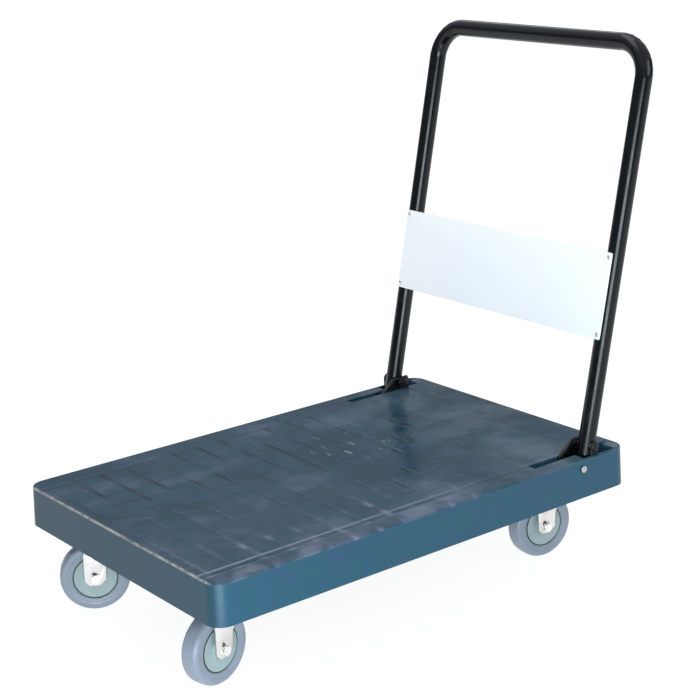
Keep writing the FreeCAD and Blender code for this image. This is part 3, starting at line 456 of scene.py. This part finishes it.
black_paint = painted_steel("black_paint", (0.0020, 0.0032, 0.0042), 0.14, 0.0)
stations = tube_stations()
skin = [tube_ring(*station, TUBE_RADIUS, True) for station in stations]
bore = [tube_ring(at, along, 0.0, t, TUBE_BORE, False) for at, along, share, t in reversed(stations)]
tube_mesh = closed_rings("handle_tube", skin + bore)
tube_mesh.transform(LEANED)
handle_tube = link_piece("bent_handle_tube", tube_mesh, black_paint)
cutter_mesh = bpy.data.meshes.new("pivot_hole")
work = bmesh.new()
bmesh.ops.create_cone(work, cap_ends=True, segments=40, radius1=PIVOT_HOLE_RADIUS,
                      radius2=PIVOT_HOLE_RADIUS, depth=PIVOT_HOLE_LENGTH,
                      matrix=Matrix.Translation(PIVOT) @ Matrix.Rotation(math.radians(90), 4, "X"))
work.to_mesh(cutter_mesh)
work.free()
cutter = link_piece("pivot_hole", cutter_mesh)
hole = handle_tube.modifiers.new("pivot_hole", "BOOLEAN")
hole.operation = "DIFFERENCE"
hole.object = cutter
finished_mesh(handle_tube)
bpy.data.objects.remove(cutter)
soft_shading(handle_tube.data, 40.0)
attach(handle_tube, "handle")
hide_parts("handle_tube")

# ---- Handle's plugs and bushes ----------------------------------------------
# A pressed-in black nylon plug closes each foot of the tube, and a plain steel
# bush is welded across each leg where it turns on its bolt.


def moulded(name, colour, roughness, grain=700.0, spread=0.12):
    """Moulded plastic or rubber: fine grain, soft cloudiness and patchy shine."""
    material, tree, shader, spot = new_material(name, IOR=1.49)
    tree.links.new(bump(tree, noise(tree, spot, grain, 3.0), 0.00004, 0.6), shader.inputs["Normal"])
    tree.links.new(ramp(tree, noise(tree, spot, 28.0, 4.0), (0.3, tuple((1 - spread) * c for c in colour)),
                        (0.7, tuple((1 + spread) * c for c in colour))), shader.inputs["Base Color"])
    tree.links.new(between(tree, noise(tree, spot, 70.0, 4.0), 0.3, 0.7, roughness - 0.06, roughness + 0.08),
                   shader.inputs["Roughness"])
    return material


def plated_steel(name, colour, roughness, warm=(0.95, 0.92, 0.86), cloud_size=38.0):
    """Bright zinc over pressed steel: faint cloudy passivation and fine rubbed lines."""
    material, tree, shader, spot = new_material(name, Metallic=1.0)
    cloud = noise(tree, spot, cloud_size, 5.0, 0.6)
    warm = tuple(c * k for c, k in zip(colour, warm))
    tree.links.new(ramp(tree, cloud, (0.35, warm), (0.60, colour)), shader.inputs["Base Color"])
    tree.links.new(between(tree, noise(tree, spot, 120.0, 4.0), 0.3, 0.7, roughness, roughness + 0.12),
                   shader.inputs["Roughness"])
    lines = add(tree, "ShaderNodeTexNoise", Vector=add(
        tree, "ShaderNodeMapping", Vector=spot, Scale=(90.0, 90.0, 1800.0)).outputs[0], Scale=1.0, Detail=2.0)
    tree.links.new(bump(tree, lines.outputs[0], 0.00002, 0.25), shader.inputs["Normal"])
    return material


def eased(node, width, material, body, segments=2, angle=32.0, keep_name=None):
    """A CAD piece with its edges broken as pressing, casting or tumbling leaves them."""
    mesh = frame["nodes"][node].data.copy()
    work = bmesh.new()
    work.from_mesh(mesh)
    bmesh.ops.remove_doubles(work, verts=work.verts, dist=2e-6)
    bmesh.ops.dissolve_degenerate(work, edges=work.edges, dist=2e-6)
    bmesh.ops.dissolve_limit(work, angle_limit=math.radians(0.6), verts=work.verts, edges=work.edges)
    work.to_mesh(mesh)
    work.free()
    piece = link_piece(keep_name or "eased_" + node, mesh, material)
    bevel = piece.modifiers.new("eased", "BEVEL")
    bevel.width = width
    bevel.segments = segments
    bevel.limit_method = "ANGLE"
    bevel.angle_limit = math.radians(angle)
    bevel.use_clamp_overlap = True
    bevel.harden_normals = True
    mesh = finished_mesh(piece)
    mesh.polygons.foreach_set("use_smooth", [True] * len(mesh.polygons))
    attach(piece, body)
    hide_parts(node)
    return piece


def repaint(material, *nodes):
    for node in nodes:
        mesh = frame["nodes"][node].data
        mesh.materials.clear()
        mesh.materials.append(material)


black_nylon = moulded("black_nylon", (0.016, 0.016, 0.018), 0.42)
zinc = plated_steel("zinc_steel", (0.88, 0.89, 0.905), 0.16)
worn_zinc = plated_steel("worn_zinc", (0.50, 0.50, 0.51), 0.34)
repaint(zinc, "pivot_bushes")
eased("handle_end_plugs", 0.0006, black_nylon, "handle")

# ---- Sign panel -------------------------------------------------------------
# A blank sheet of pale enamelled steel with rounded corners, held to the legs
# by four cross-head screws.
PANEL_LOW = 0.210 - 0.015 / math.cos(LEAN)
PANEL_TALL = 0.158
PANEL_HALF = 0.280
PANEL_STEEL = 0.0015
PANEL_BACK = TUBE_RADIUS + 0.0001
PANEL_CORNER = 0.003
SCREW_INSET = 0.009


def panel_enamel():
    material, tree, shader, spot = new_material("white_panel", IOR=1.5)
    enamel = ramp(tree, noise(tree, spot, 6.0, 3.0), (0.3, (0.84, 0.870, 0.890)),
                  (0.7, (0.860, 0.885, 0.900)))
    tree.links.new(enamel, shader.inputs["Base Color"])
    rough = between(tree, noise(tree, spot, 40.0, 3.0), 0.3, 0.8, 0.34, 0.40)
    tree.links.new(rough, shader.inputs["Roughness"])
    tree.links.new(bump(tree, noise(tree, spot, 300.0, 2.0), 0.00003, 0.4), shader.inputs["Normal"])
    return material


def panel_outline(inset):
    """Rounded rectangle, corner by corner, moved in by an amount."""
    points = []
    for sy, su, start in ((1, 1, 0), (-1, 1, 90), (-1, -1, 180), (1, -1, 270)):
        for k in range(7):
            a = math.radians(start + 15 * k)
            points.append((sy * (PANEL_HALF - PANEL_CORNER) + math.cos(a) * (PANEL_CORNER - inset),
                           su * (PANEL_TALL / 2 - PANEL_CORNER) + math.sin(a) * (PANEL_CORNER - inset)))
    return points


edge = 0.0003
layers = [(0.0008, PANEL_BACK), (0.0, PANEL_BACK + edge), (0.0, PANEL_BACK + PANEL_STEEL - edge),
          (0.0002, PANEL_BACK + PANEL_STEEL - edge / 3), (0.0006, PANEL_BACK + PANEL_STEEL)]
mid_up = PANEL_LOW + PANEL_TALL / 2
points = [(-off, y, mid_up + u) for inset, off in layers for y, u in panel_outline(inset)]
ring = len(points) // len(layers)
faces = [(i * ring + k, i * ring + (k + 1) % ring, (i + 1) * ring + (k + 1) % ring, (i + 1) * ring + k)
         for i in range(len(layers) - 1) for k in range(ring)]
faces += [tuple(range(ring)), tuple(reversed(range((len(layers) - 1) * ring, len(layers) * ring)))]
panel_mesh = bpy.data.meshes.new("sign_panel")
panel_mesh.from_pydata(points, [], faces)
outward_faces(panel_mesh)
panel_mesh.transform(LEANED)
soft_shading(panel_mesh, 50.0)
panel = link_piece("sign_panel_sheet", panel_mesh, panel_enamel())
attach(panel, "handle")
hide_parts("sign_plate")


def lathe(name, profile, sides=48, lobes=None):
    """A turned solid about +Z through (radius, height) points that start and end on the axis or join up."""
    closed = profile[0][0] > 1e-6
    points, rows = [], []
    for radius, height in profile:
        if radius < 1e-6:
            rows.append([len(points)])
            points.append((0.0, 0.0, height))
        else:
            rows.append(list(range(len(points), len(points) + sides)))
            for k in range(sides):
                a = 2 * math.pi * k / sides
                r = radius if lobes is None else lobes(radius, height, a)
                points.append((r * math.cos(a), r * math.sin(a), height))
    pairs = list(zip(rows, rows[1:] + ([rows[0]] if closed else [])))
    if not closed:
        pairs = pairs[:len(rows) - 1]
    faces = []
    for low, high in pairs:
        for k in range(sides):
            n = (k + 1) % sides
            if len(low) == 1:
                faces.append((low[0], high[n], high[k]))
            elif len(high) == 1:
                faces.append((low[k], low[n], high[0]))
            else:
                faces.append((low[k], low[n], high[n], high[k]))
    mesh = bpy.data.meshes.new(name)
    mesh.from_pydata(points, [], faces)
    outward_faces(mesh)
    return mesh


def fastener_tree():
    """Geometry Nodes: one fastener at every place, scaled and turned, made real, in one material."""
    tree = bpy.data.node_groups.new("fasteners_at_places", "GeometryNodeTree")
    face = tree.interface
    face.new_socket("Places", in_out="INPUT", socket_type="NodeSocketGeometry")
    face.new_socket("Fastener", in_out="INPUT", socket_type="NodeSocketObject")
    face.new_socket("Size", in_out="INPUT", socket_type="NodeSocketFloat")
    face.new_socket("Turn", in_out="INPUT", socket_type="NodeSocketFloat")
    face.new_socket("Seed", in_out="INPUT", socket_type="NodeSocketInt")
    face.new_socket("Finish", in_out="INPUT", socket_type="NodeSocketMaterial")
    face.new_socket("Fasteners", in_out="OUTPUT", socket_type="NodeSocketGeometry")
    given = add(tree, "NodeGroupInput")
    facing = add(tree, "GeometryNodeInputNamedAttribute", {"data_type": "FLOAT_VECTOR"}, Name="facing")
    spin = add(tree, "FunctionNodeRandomValue", {"data_type": "FLOAT"}, Seed=given.outputs["Seed"])
    spin.inputs[2].default_value = 0.0
    tree.links.new(given.outputs["Turn"], spin.inputs[3])
    upright = add(tree, "FunctionNodeAlignRotationToVector", {"axis": "Z"},
                  Vector=facing.outputs["Attribute"])
    about = add(tree, "FunctionNodeAxisAngleToRotation", Axis=(0.0, 0.0, 1.0), Angle=spin.outputs[1])
    turned = add(tree, "FunctionNodeRotateRotation", {"rotation_space": "LOCAL"},
                 Rotation=upright.outputs[0], Rotate_By=about.outputs[0])
    shape = add(tree, "GeometryNodeObjectInfo", Object=given.outputs["Fastener"])
    placed = add(tree, "GeometryNodeInstanceOnPoints", Points=given.outputs["Places"],
                 Instance=shape.outputs["Geometry"], Rotation=turned.outputs[0], Scale=given.outputs["Size"])
    real = add(tree, "GeometryNodeRealizeInstances", Geometry=placed.outputs[0])
    coated = add(tree, "GeometryNodeSetMaterial", Geometry=real.outputs[0], Material=given.outputs["Finish"])
    add(tree, "NodeGroupOutput", Fasteners=coated.outputs[0])
    return tree


FASTENERS = fastener_tree()


def set_inputs(modifier, values):
    for item in modifier.node_group.interface.items_tree:
        if item.in_out == "INPUT" and item.name in values:
            modifier[item.identifier] = values[item.name]


def fasten(name, template, places, material, body, replaced, turn=0.0, seed=1):
    """Fasteners of one kind: places are (point, direction the head faces)."""
    mesh = bpy.data.meshes.new(name)
    mesh.from_pydata([tuple(p) for p, _ in places], [], [])
    facing = mesh.attributes.new("facing", "FLOAT_VECTOR", "POINT")
    facing.data.foreach_set("vector", [c for _, d in places for c in d])
    piece = link_piece(name, mesh)
    shape = link_piece(name + "_one", template)
    nodes = piece.modifiers.new("fasteners", "NODES")
    nodes.node_group = FASTENERS
    set_inputs(nodes, {"Fastener": shape, "Size": 1.0, "Turn": turn, "Seed": seed, "Finish": material})
    finished_mesh(piece)
    bpy.data.objects.remove(shape)
    soft_shading(piece.data, 32.0)
    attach(piece, body)
    if replaced:
        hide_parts(*replaced)
    return piece


def cross_head_screw():
    """Pan head with a cross recess, on a short threaded shank."""
    head, tall, shank, length = 0.0042, 0.0022, 0.0023, 0.0105

    profile = [(0.0, -length), (shank * 0.6, -length), (shank, -length + 0.001)]
    for k in range(9):
        z = -length + 0.0015 + 0.001 * k
        profile += [(shank, z), (shank * 0.84, z + 0.0005)]
    profile += [(shank, -0.0002), (head * 0.97, 0.0), (head, 0.0005), (head * 0.93, tall * 0.62),
                (head * 0.74, tall * 0.88), (head * 0.45, tall), (head * 0.40, tall), (0.0, tall)]
    mesh = lathe("cross_head_screw", profile, 32)
    # the recess: points of the head's flat crown near the two crossing slots are pushed in
    work = bmesh.new()
    work.from_mesh(mesh)
    crown = [f for f in work.faces if f.normal.z > 0.9 and f.calc_center_median().z > tall * 0.9]
    crown_edges = list({e for f in crown for e in f.edges})
    bmesh.ops.subdivide_edges(work, edges=crown_edges, cuts=3, use_grid_fill=True)
    for v in work.verts:
        if v.co.z > tall * 0.93 and math.hypot(v.co.x, v.co.y) < head * 0.42:
            if min(abs(v.co.x), abs(v.co.y)) < head * 0.11:
                v.co.z -= 0.0011
    work.to_mesh(mesh)
    work.free()
    return mesh


screw_places = []
for side in (-1, 1):
    for u in (PANEL_LOW + SCREW_INSET, PANEL_LOW + PANEL_TALL - SCREW_INSET):
        local = Vector((-(PANEL_BACK + PANEL_STEEL), side * LEG_Y, u))
        screw_places.append((LEANED @ local, LEANED.to_3x3() @ Vector((-1, 0, 0))))
fasten("sign_panel_screws", cross_head_screw(), screw_places, zinc, "handle",
       ["sign_plate_screws"], turn=1.5, seed=4)

# ---- Hinge brackets ---------------------------------------------------------
# Folded steel brackets, painted black, screwed up under the deck; each leg turns
# between two cheeks on a round-headed bolt and leans on a nylon roller.
bracket_paint = painted_steel("bracket_paint", (0.0035, 0.0045, 0.0055), 0.24, 0.0)
black_steel, tree, shader, spot = new_material("black_steel", Metallic=0.85)
oxide = ramp(tree, noise(tree, spot, 60.0, 4.0), (0.3, (0.012, 0.012, 0.014)), (0.7, (0.035, 0.034, 0.036)))
tree.links.new(oxide, shader.inputs["Base Color"])
tree.links.new(between(tree, noise(tree, spot, 140.0, 4.0), 0.3, 0.7, 0.30, 0.46), shader.inputs["Roughness"])
tree.links.new(bump(tree, noise(tree, spot, 500.0, 2.0), 0.00003, 0.5), shader.inputs["Normal"])
for side in ("right", "left"):
    eased("hinge_bracket_" + side, 0.0006, bracket_paint, "deck")
eased("pivot_bolts", 0.0005, black_steel, "deck", angle=50.0)
eased("pivot_nuts", 0.0005, black_steel, "deck")
eased("stop_rod", 0.0005, zinc, "deck", angle=50.0)
eased("stop_rod_caps", 0.0004, worn_zinc, "deck", angle=50.0)
eased("stop_buffers", 0.0006, black_nylon, "deck", angle=50.0)


def hex_bolt(name, flats, tall, shank, length):
    """Chamfered hexagon head above z = 0, with a threaded shank below it."""
    round_edge = flats * 0.475

    def hexagonal(radius, height, a):
        if height <= 0.0 or radius < flats * 0.40:
            return radius
        near = (a + math.pi / 6) % (math.pi / 3) - math.pi / 6
        return min(flats / 2 / math.cos(near), radius)

    corner = flats / 2 / math.cos(math.pi / 6)
    drop = (corner - round_edge) * math.tan(math.radians(30))
    profile = [(0.0, -length), (shank * 0.7, -length), (shank, -length + 0.0012)]
    turns = int((length - 0.003) / 0.00125)
    for k in range(turns):
        z = -length + 0.0018 + 0.00125 * k
        profile += [(shank, z), (shank * 0.86, z + 0.0006)]
    profile += [(shank, -0.0004), (flats * 0.46, -0.0001)]
    profile += [(corner * 1.001, 0.00012), (corner, tall - drop),
                ((corner + flats / 2) / 2, tall - drop * 0.5), (flats / 2, tall - drop * 0.16),
                (round_edge * 0.97, tall), (round_edge * 0.5, tall), (0.0, tall)]
    return lathe(name, profile, 36, hexagonal)


BRACKET_SCREW_FLATS = 0.010
BRACKET_SCREW_BACK = (0.042, 0.014)
BRACKET_FLANGE_UNDERSIDE = 0.157
low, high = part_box("bracket_screws")
screw_y = high.y - BRACKET_SCREW_FLATS / math.cos(math.pi / 6) / 2
places = []
for side in (-1, 1):
    for back in BRACKET_SCREW_BACK:
        seat = Vector((PIVOT.x - back, side * screw_y, BRACKET_FLANGE_UNDERSIDE))
        places.append((seat, Vector((0, 0, -1))))
bracket_screw = hex_bolt("bracket_screw", flats=BRACKET_SCREW_FLATS, tall=0.004, shank=0.0029, length=0.016)
fasten("bracket_hex_screws", bracket_screw, places, black_steel, "deck",
       ["bracket_screws"], turn=1.0, seed=7)

# ---- Foot lock --------------------------------------------------------------
# A zinc-plated cross bar with a flat arm welded to its middle and a ribbed
# rubber tread pushed over the arm's end; two wire springs press it up.
black_rubber = moulded("black_rubber", (0.020, 0.020, 0.022), 0.62, 420.0, 0.2)
spring_steel = plated_steel("spring_steel", (0.36, 0.36, 0.37), 0.28)
eased("lock_bar", 0.0006, zinc, "foot_lock")
eased("lock_pedal", 0.0006, black_rubber, "foot_lock")
repaint(spring_steel, "lock_springs")

# ---- Caster plates ----------------------------------------------------------
# Pressed steel plates, bright zinc, each held up under the deck by four hexagon
# bolts; a riveted kingpin and a ring of balls carry the fork.
PLACES = ("front_left", "front_right", "rear_left", "rear_right")
CASTER_SEAT = 0.158
PLATE_STEEL = 0.005
BOLT_HALF_X = 0.042
BOLT_HALF_Y = 0.032
BALL_RADIUS = 0.0035
RACE_RADIUS = 0.022
RACE_Z = 0.14985
BALL_COUNT = 16

caster_centres = {}
for place in PLACES:
    low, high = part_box("caster_plate_" + place)
    caster_centres[place] = Vector(((low.x + high.x) / 2, (low.y + high.y) / 2, 0.0))
    eased("caster_plate_" + place, 0.0009, zinc, "deck")
    repaint(zinc, "kingpin_" + place)
bolt_places = []
for centre in caster_centres.values():
    for sx in (-1, 1):
        for sy in (-1, 1):
            off = Vector((sx * BOLT_HALF_X, sy * BOLT_HALF_Y, CASTER_SEAT - PLATE_STEEL))
            bolt_places.append((centre + off, Vector((0, 0, -1))))
caster_bolt = hex_bolt("caster_bolt", flats=0.013, tall=0.0053, shank=0.0039, length=0.0205)
fasten("caster_hex_bolts", caster_bolt, bolt_places, zinc, "deck", ["caster_bolts"],
       turn=1.0, seed=2)
repaint(zinc, "caster_inserts")


def ball_ring_tree():
    """Geometry Nodes: a ring of balls around the swivel axis."""
    tree = bpy.data.node_groups.new("swivel_ball_ring", "GeometryNodeTree")
    face = tree.interface
    face.new_socket("Centre", in_out="INPUT", socket_type="NodeSocketGeometry")
    face.new_socket("Race Radius", in_out="INPUT", socket_type="NodeSocketFloat")
    face.new_socket("Ball Radius", in_out="INPUT", socket_type="NodeSocketFloat")
    face.new_socket("Balls", in_out="INPUT", socket_type="NodeSocketInt")
    face.new_socket("Finish", in_out="INPUT", socket_type="NodeSocketMaterial")
    face.new_socket("Ring", in_out="OUTPUT", socket_type="NodeSocketGeometry")
    given = add(tree, "NodeGroupInput")
    ring = add(tree, "GeometryNodeMeshCircle", Vertices=given.outputs["Balls"],
               Radius=given.outputs["Race Radius"])
    ball = add(tree, "GeometryNodeMeshUVSphere", Segments=20, Rings=12, Radius=given.outputs["Ball Radius"])
    around = add(tree, "GeometryNodeInstanceOnPoints", Points=ring.outputs[0], Instance=ball.outputs[0])
    at_axis = add(tree, "GeometryNodeInstanceOnPoints", Points=given.outputs["Centre"],
                  Instance=around.outputs[0])
    real = add(tree, "GeometryNodeRealizeInstances", Geometry=at_axis.outputs[0])
    coated = add(tree, "GeometryNodeSetMaterial", Geometry=real.outputs[0], Material=given.outputs["Finish"])
    add(tree, "NodeGroupOutput", Ring=coated.outputs[0])
    return tree


BALL_RING = ball_ring_tree()
bearing_steel = plated_steel("bearing_steel", (0.62, 0.63, 0.65), 0.12)
for place, centre in caster_centres.items():
    mesh = bpy.data.meshes.new("swivel_ball_ring_" + place)
    mesh.from_pydata([(centre.x, centre.y, RACE_Z)], [], [])
    ring = link_piece("swivel_ball_ring_" + place, mesh)
    nodes = ring.modifiers.new("balls", "NODES")
    nodes.node_group = BALL_RING
    set_inputs(nodes, {"Race Radius": RACE_RADIUS, "Ball Radius": BALL_RADIUS, "Balls": BALL_COUNT,
                       "Finish": bearing_steel})
    finished_mesh(ring)
    soft_shading(ring.data, 80.0)
    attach(ring, "swivel_" + place)
    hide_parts("swivel_balls_" + place)

# ---- Forks ------------------------------------------------------------------
# Pressed from one strip of steel and zinc plated, with tumbled edges. A hexagon
# bolt and nut through the fork's feet clamp the wheel's axle sleeve.
FORK_OUTER = 0.0245
AXLE_FLATS = 0.016
AXLE_SHANK = 0.0049

fork_zinc = plated_steel("fork_zinc", (0.80, 0.80, 0.80), 0.14, warm=(0.80, 0.76, 0.70), cloud_size=14.0)
axles = {}
for joint in frame["joints"]:
    if joint["name"].startswith("roll_"):
        axles[joint["name"][5:]] = (Vector(joint["pos_m"]), Vector(joint["axis"]).normalized())
for place in PLACES:
    body = "swivel_" + place
    at, along = axles[place]
    eased("fork_" + place, 0.0013, fork_zinc, body, segments=3)
    repaint(zinc, "axle_sleeve_" + place)
    bolt = hex_bolt("axle_bolt", flats=AXLE_FLATS, tall=0.0064, shank=AXLE_SHANK, length=0.0595)
    fasten("axle_hex_bolt_" + place, bolt, [(at - along * FORK_OUTER, -along)], zinc, body,
           ["axle_bolt_" + place], turn=1.0, seed=3)
    nut = hex_bolt("axle_nut", flats=AXLE_FLATS, tall=0.0095, shank=AXLE_SHANK, length=0.0008)
    fasten("axle_hex_nut_" + place, nut, [(at + along * FORK_OUTER, along)], zinc, body,
           ["axle_nut_" + place], turn=1.0, seed=5)

# ---- Wheels -----------------------------------------------------------------
# A grey non-marking rubber tyre moulded on a pale nylon centre, with a ball
# bearing pressed into each end of the boss.
WHEEL_RADIUS = 0.0625
HUB_RADIUS = 0.042
GROOVE_IN = 0.0379
GROOVE_OUT = 0.0409


def tyre_profile():
    """(radius, distance from the middle plane) once round the ring's section."""
    side = [(HUB_RADIUS, 0.0158), (HUB_RADIUS + 0.0010, 0.0163), (HUB_RADIUS + 0.0035, 0.0165),
            (HUB_RADIUS + 0.0075, 0.0167), (HUB_RADIUS + 0.0081, 0.0170), (HUB_RADIUS + 0.0105, 0.0170)]
    for k in range(11):
        a = math.radians(9 * k)
        side.append((0.0545 + 0.0078 * math.sin(a), 0.0092 + 0.0078 * math.cos(a)))
    side += [(WHEEL_RADIUS - 0.0001, 0.0055), (WHEEL_RADIUS, 0.0020), (WHEEL_RADIUS + 0.00018, 0.0002)]
    other = [(r, -x) for r, x in reversed(side)]
    return side + other


def along_axle(mesh, at, along):
    mesh.transform(Matrix.Translation(at) @ along.to_track_quat("Z", "Y").to_matrix().to_4x4())


def tyre_rubber_finish():
    material, tree, shader, spot = new_material("tyre_rubber", IOR=1.5)
    rubber = ramp(tree, noise(tree, spot, 30.0, 4.0), (0.3, (0.165, 0.198, 0.248)),
                  (0.7, (0.190, 0.224, 0.277)))
    tree.links.new(rubber, shader.inputs["Base Color"])
    rough = between(tree, noise(tree, spot, 90.0, 5.0), 0.3, 0.7, 0.34, 0.46)
    tree.links.new(rough, shader.inputs["Roughness"])
    tree.links.new(bump(tree, noise(tree, spot, 600.0, 3.0), 0.00005, 0.5), shader.inputs["Normal"])
    return material


def hub_profile():
    """Boss, dished web, rim lip and the fine groove against the tyre, closed round its section."""
    side = [(0.0090, 0.011), (0.0140, 0.011), (0.0140, 0.0186), (0.0144, 0.0190), (0.0176, 0.0190),
            (0.0180, 0.0186),
            (0.0186, 0.0166), (0.0198, 0.0148), (0.0220, 0.0145), (0.0330, 0.0148), (0.0362, 0.0153),
            (0.0376, 0.0154), (0.0381, 0.0151), (0.0384, 0.0128), (0.0404, 0.0128), (0.0407, 0.0146),
            (0.0412, 0.0150),
            (HUB_RADIUS - 0.0001, 0.0150)]
    return side + [(r, -x) for r, x in reversed(side)]


tyre_rubber = tyre_rubber_finish()
hub_nylon = moulded("hub_plastic", (0.225, 0.292, 0.298), 0.36, 500.0, 0.05)
# painted shade: a dark material for the faces in the fine groove between hub and tyre
groove_painted_shade = moulded("groove_painted_shade", (0.045, 0.070, 0.075), 0.60)
for place in PLACES:
    at, along = axles[place]
    body = "wheel_" + place
    tyre_mesh = lathe("tyre", tyre_profile(), 128)
    along_axle(tyre_mesh, at, along)
    soft_shading(tyre_mesh, 50.0)
    tyre = link_piece("moulded_tyre_" + place, tyre_mesh, tyre_rubber)
    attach(tyre, body)
    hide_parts("tyre_" + place)
    hub_mesh = lathe("hub", hub_profile(), 96)
    in_groove = [GROOVE_IN < math.hypot(*face.center[:2]) < GROOVE_OUT for face in hub_mesh.polygons]
    along_axle(hub_mesh, at, along)
    soft_shading(hub_mesh, 40.0)
    hub = link_piece("moulded_hub_" + place, hub_mesh, hub_nylon)
    # the faces of the fine groove take the dark material, as painted shade
    hub_mesh.materials.append(groove_painted_shade)
    hub_mesh.polygons.foreach_set("material_index", [int(shaded_face) for shaded_face in in_groove])
    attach(hub, body)
    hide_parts("wheel_hub_" + place)
    repaint(bearing_steel, "wheel_bearings_" + place)
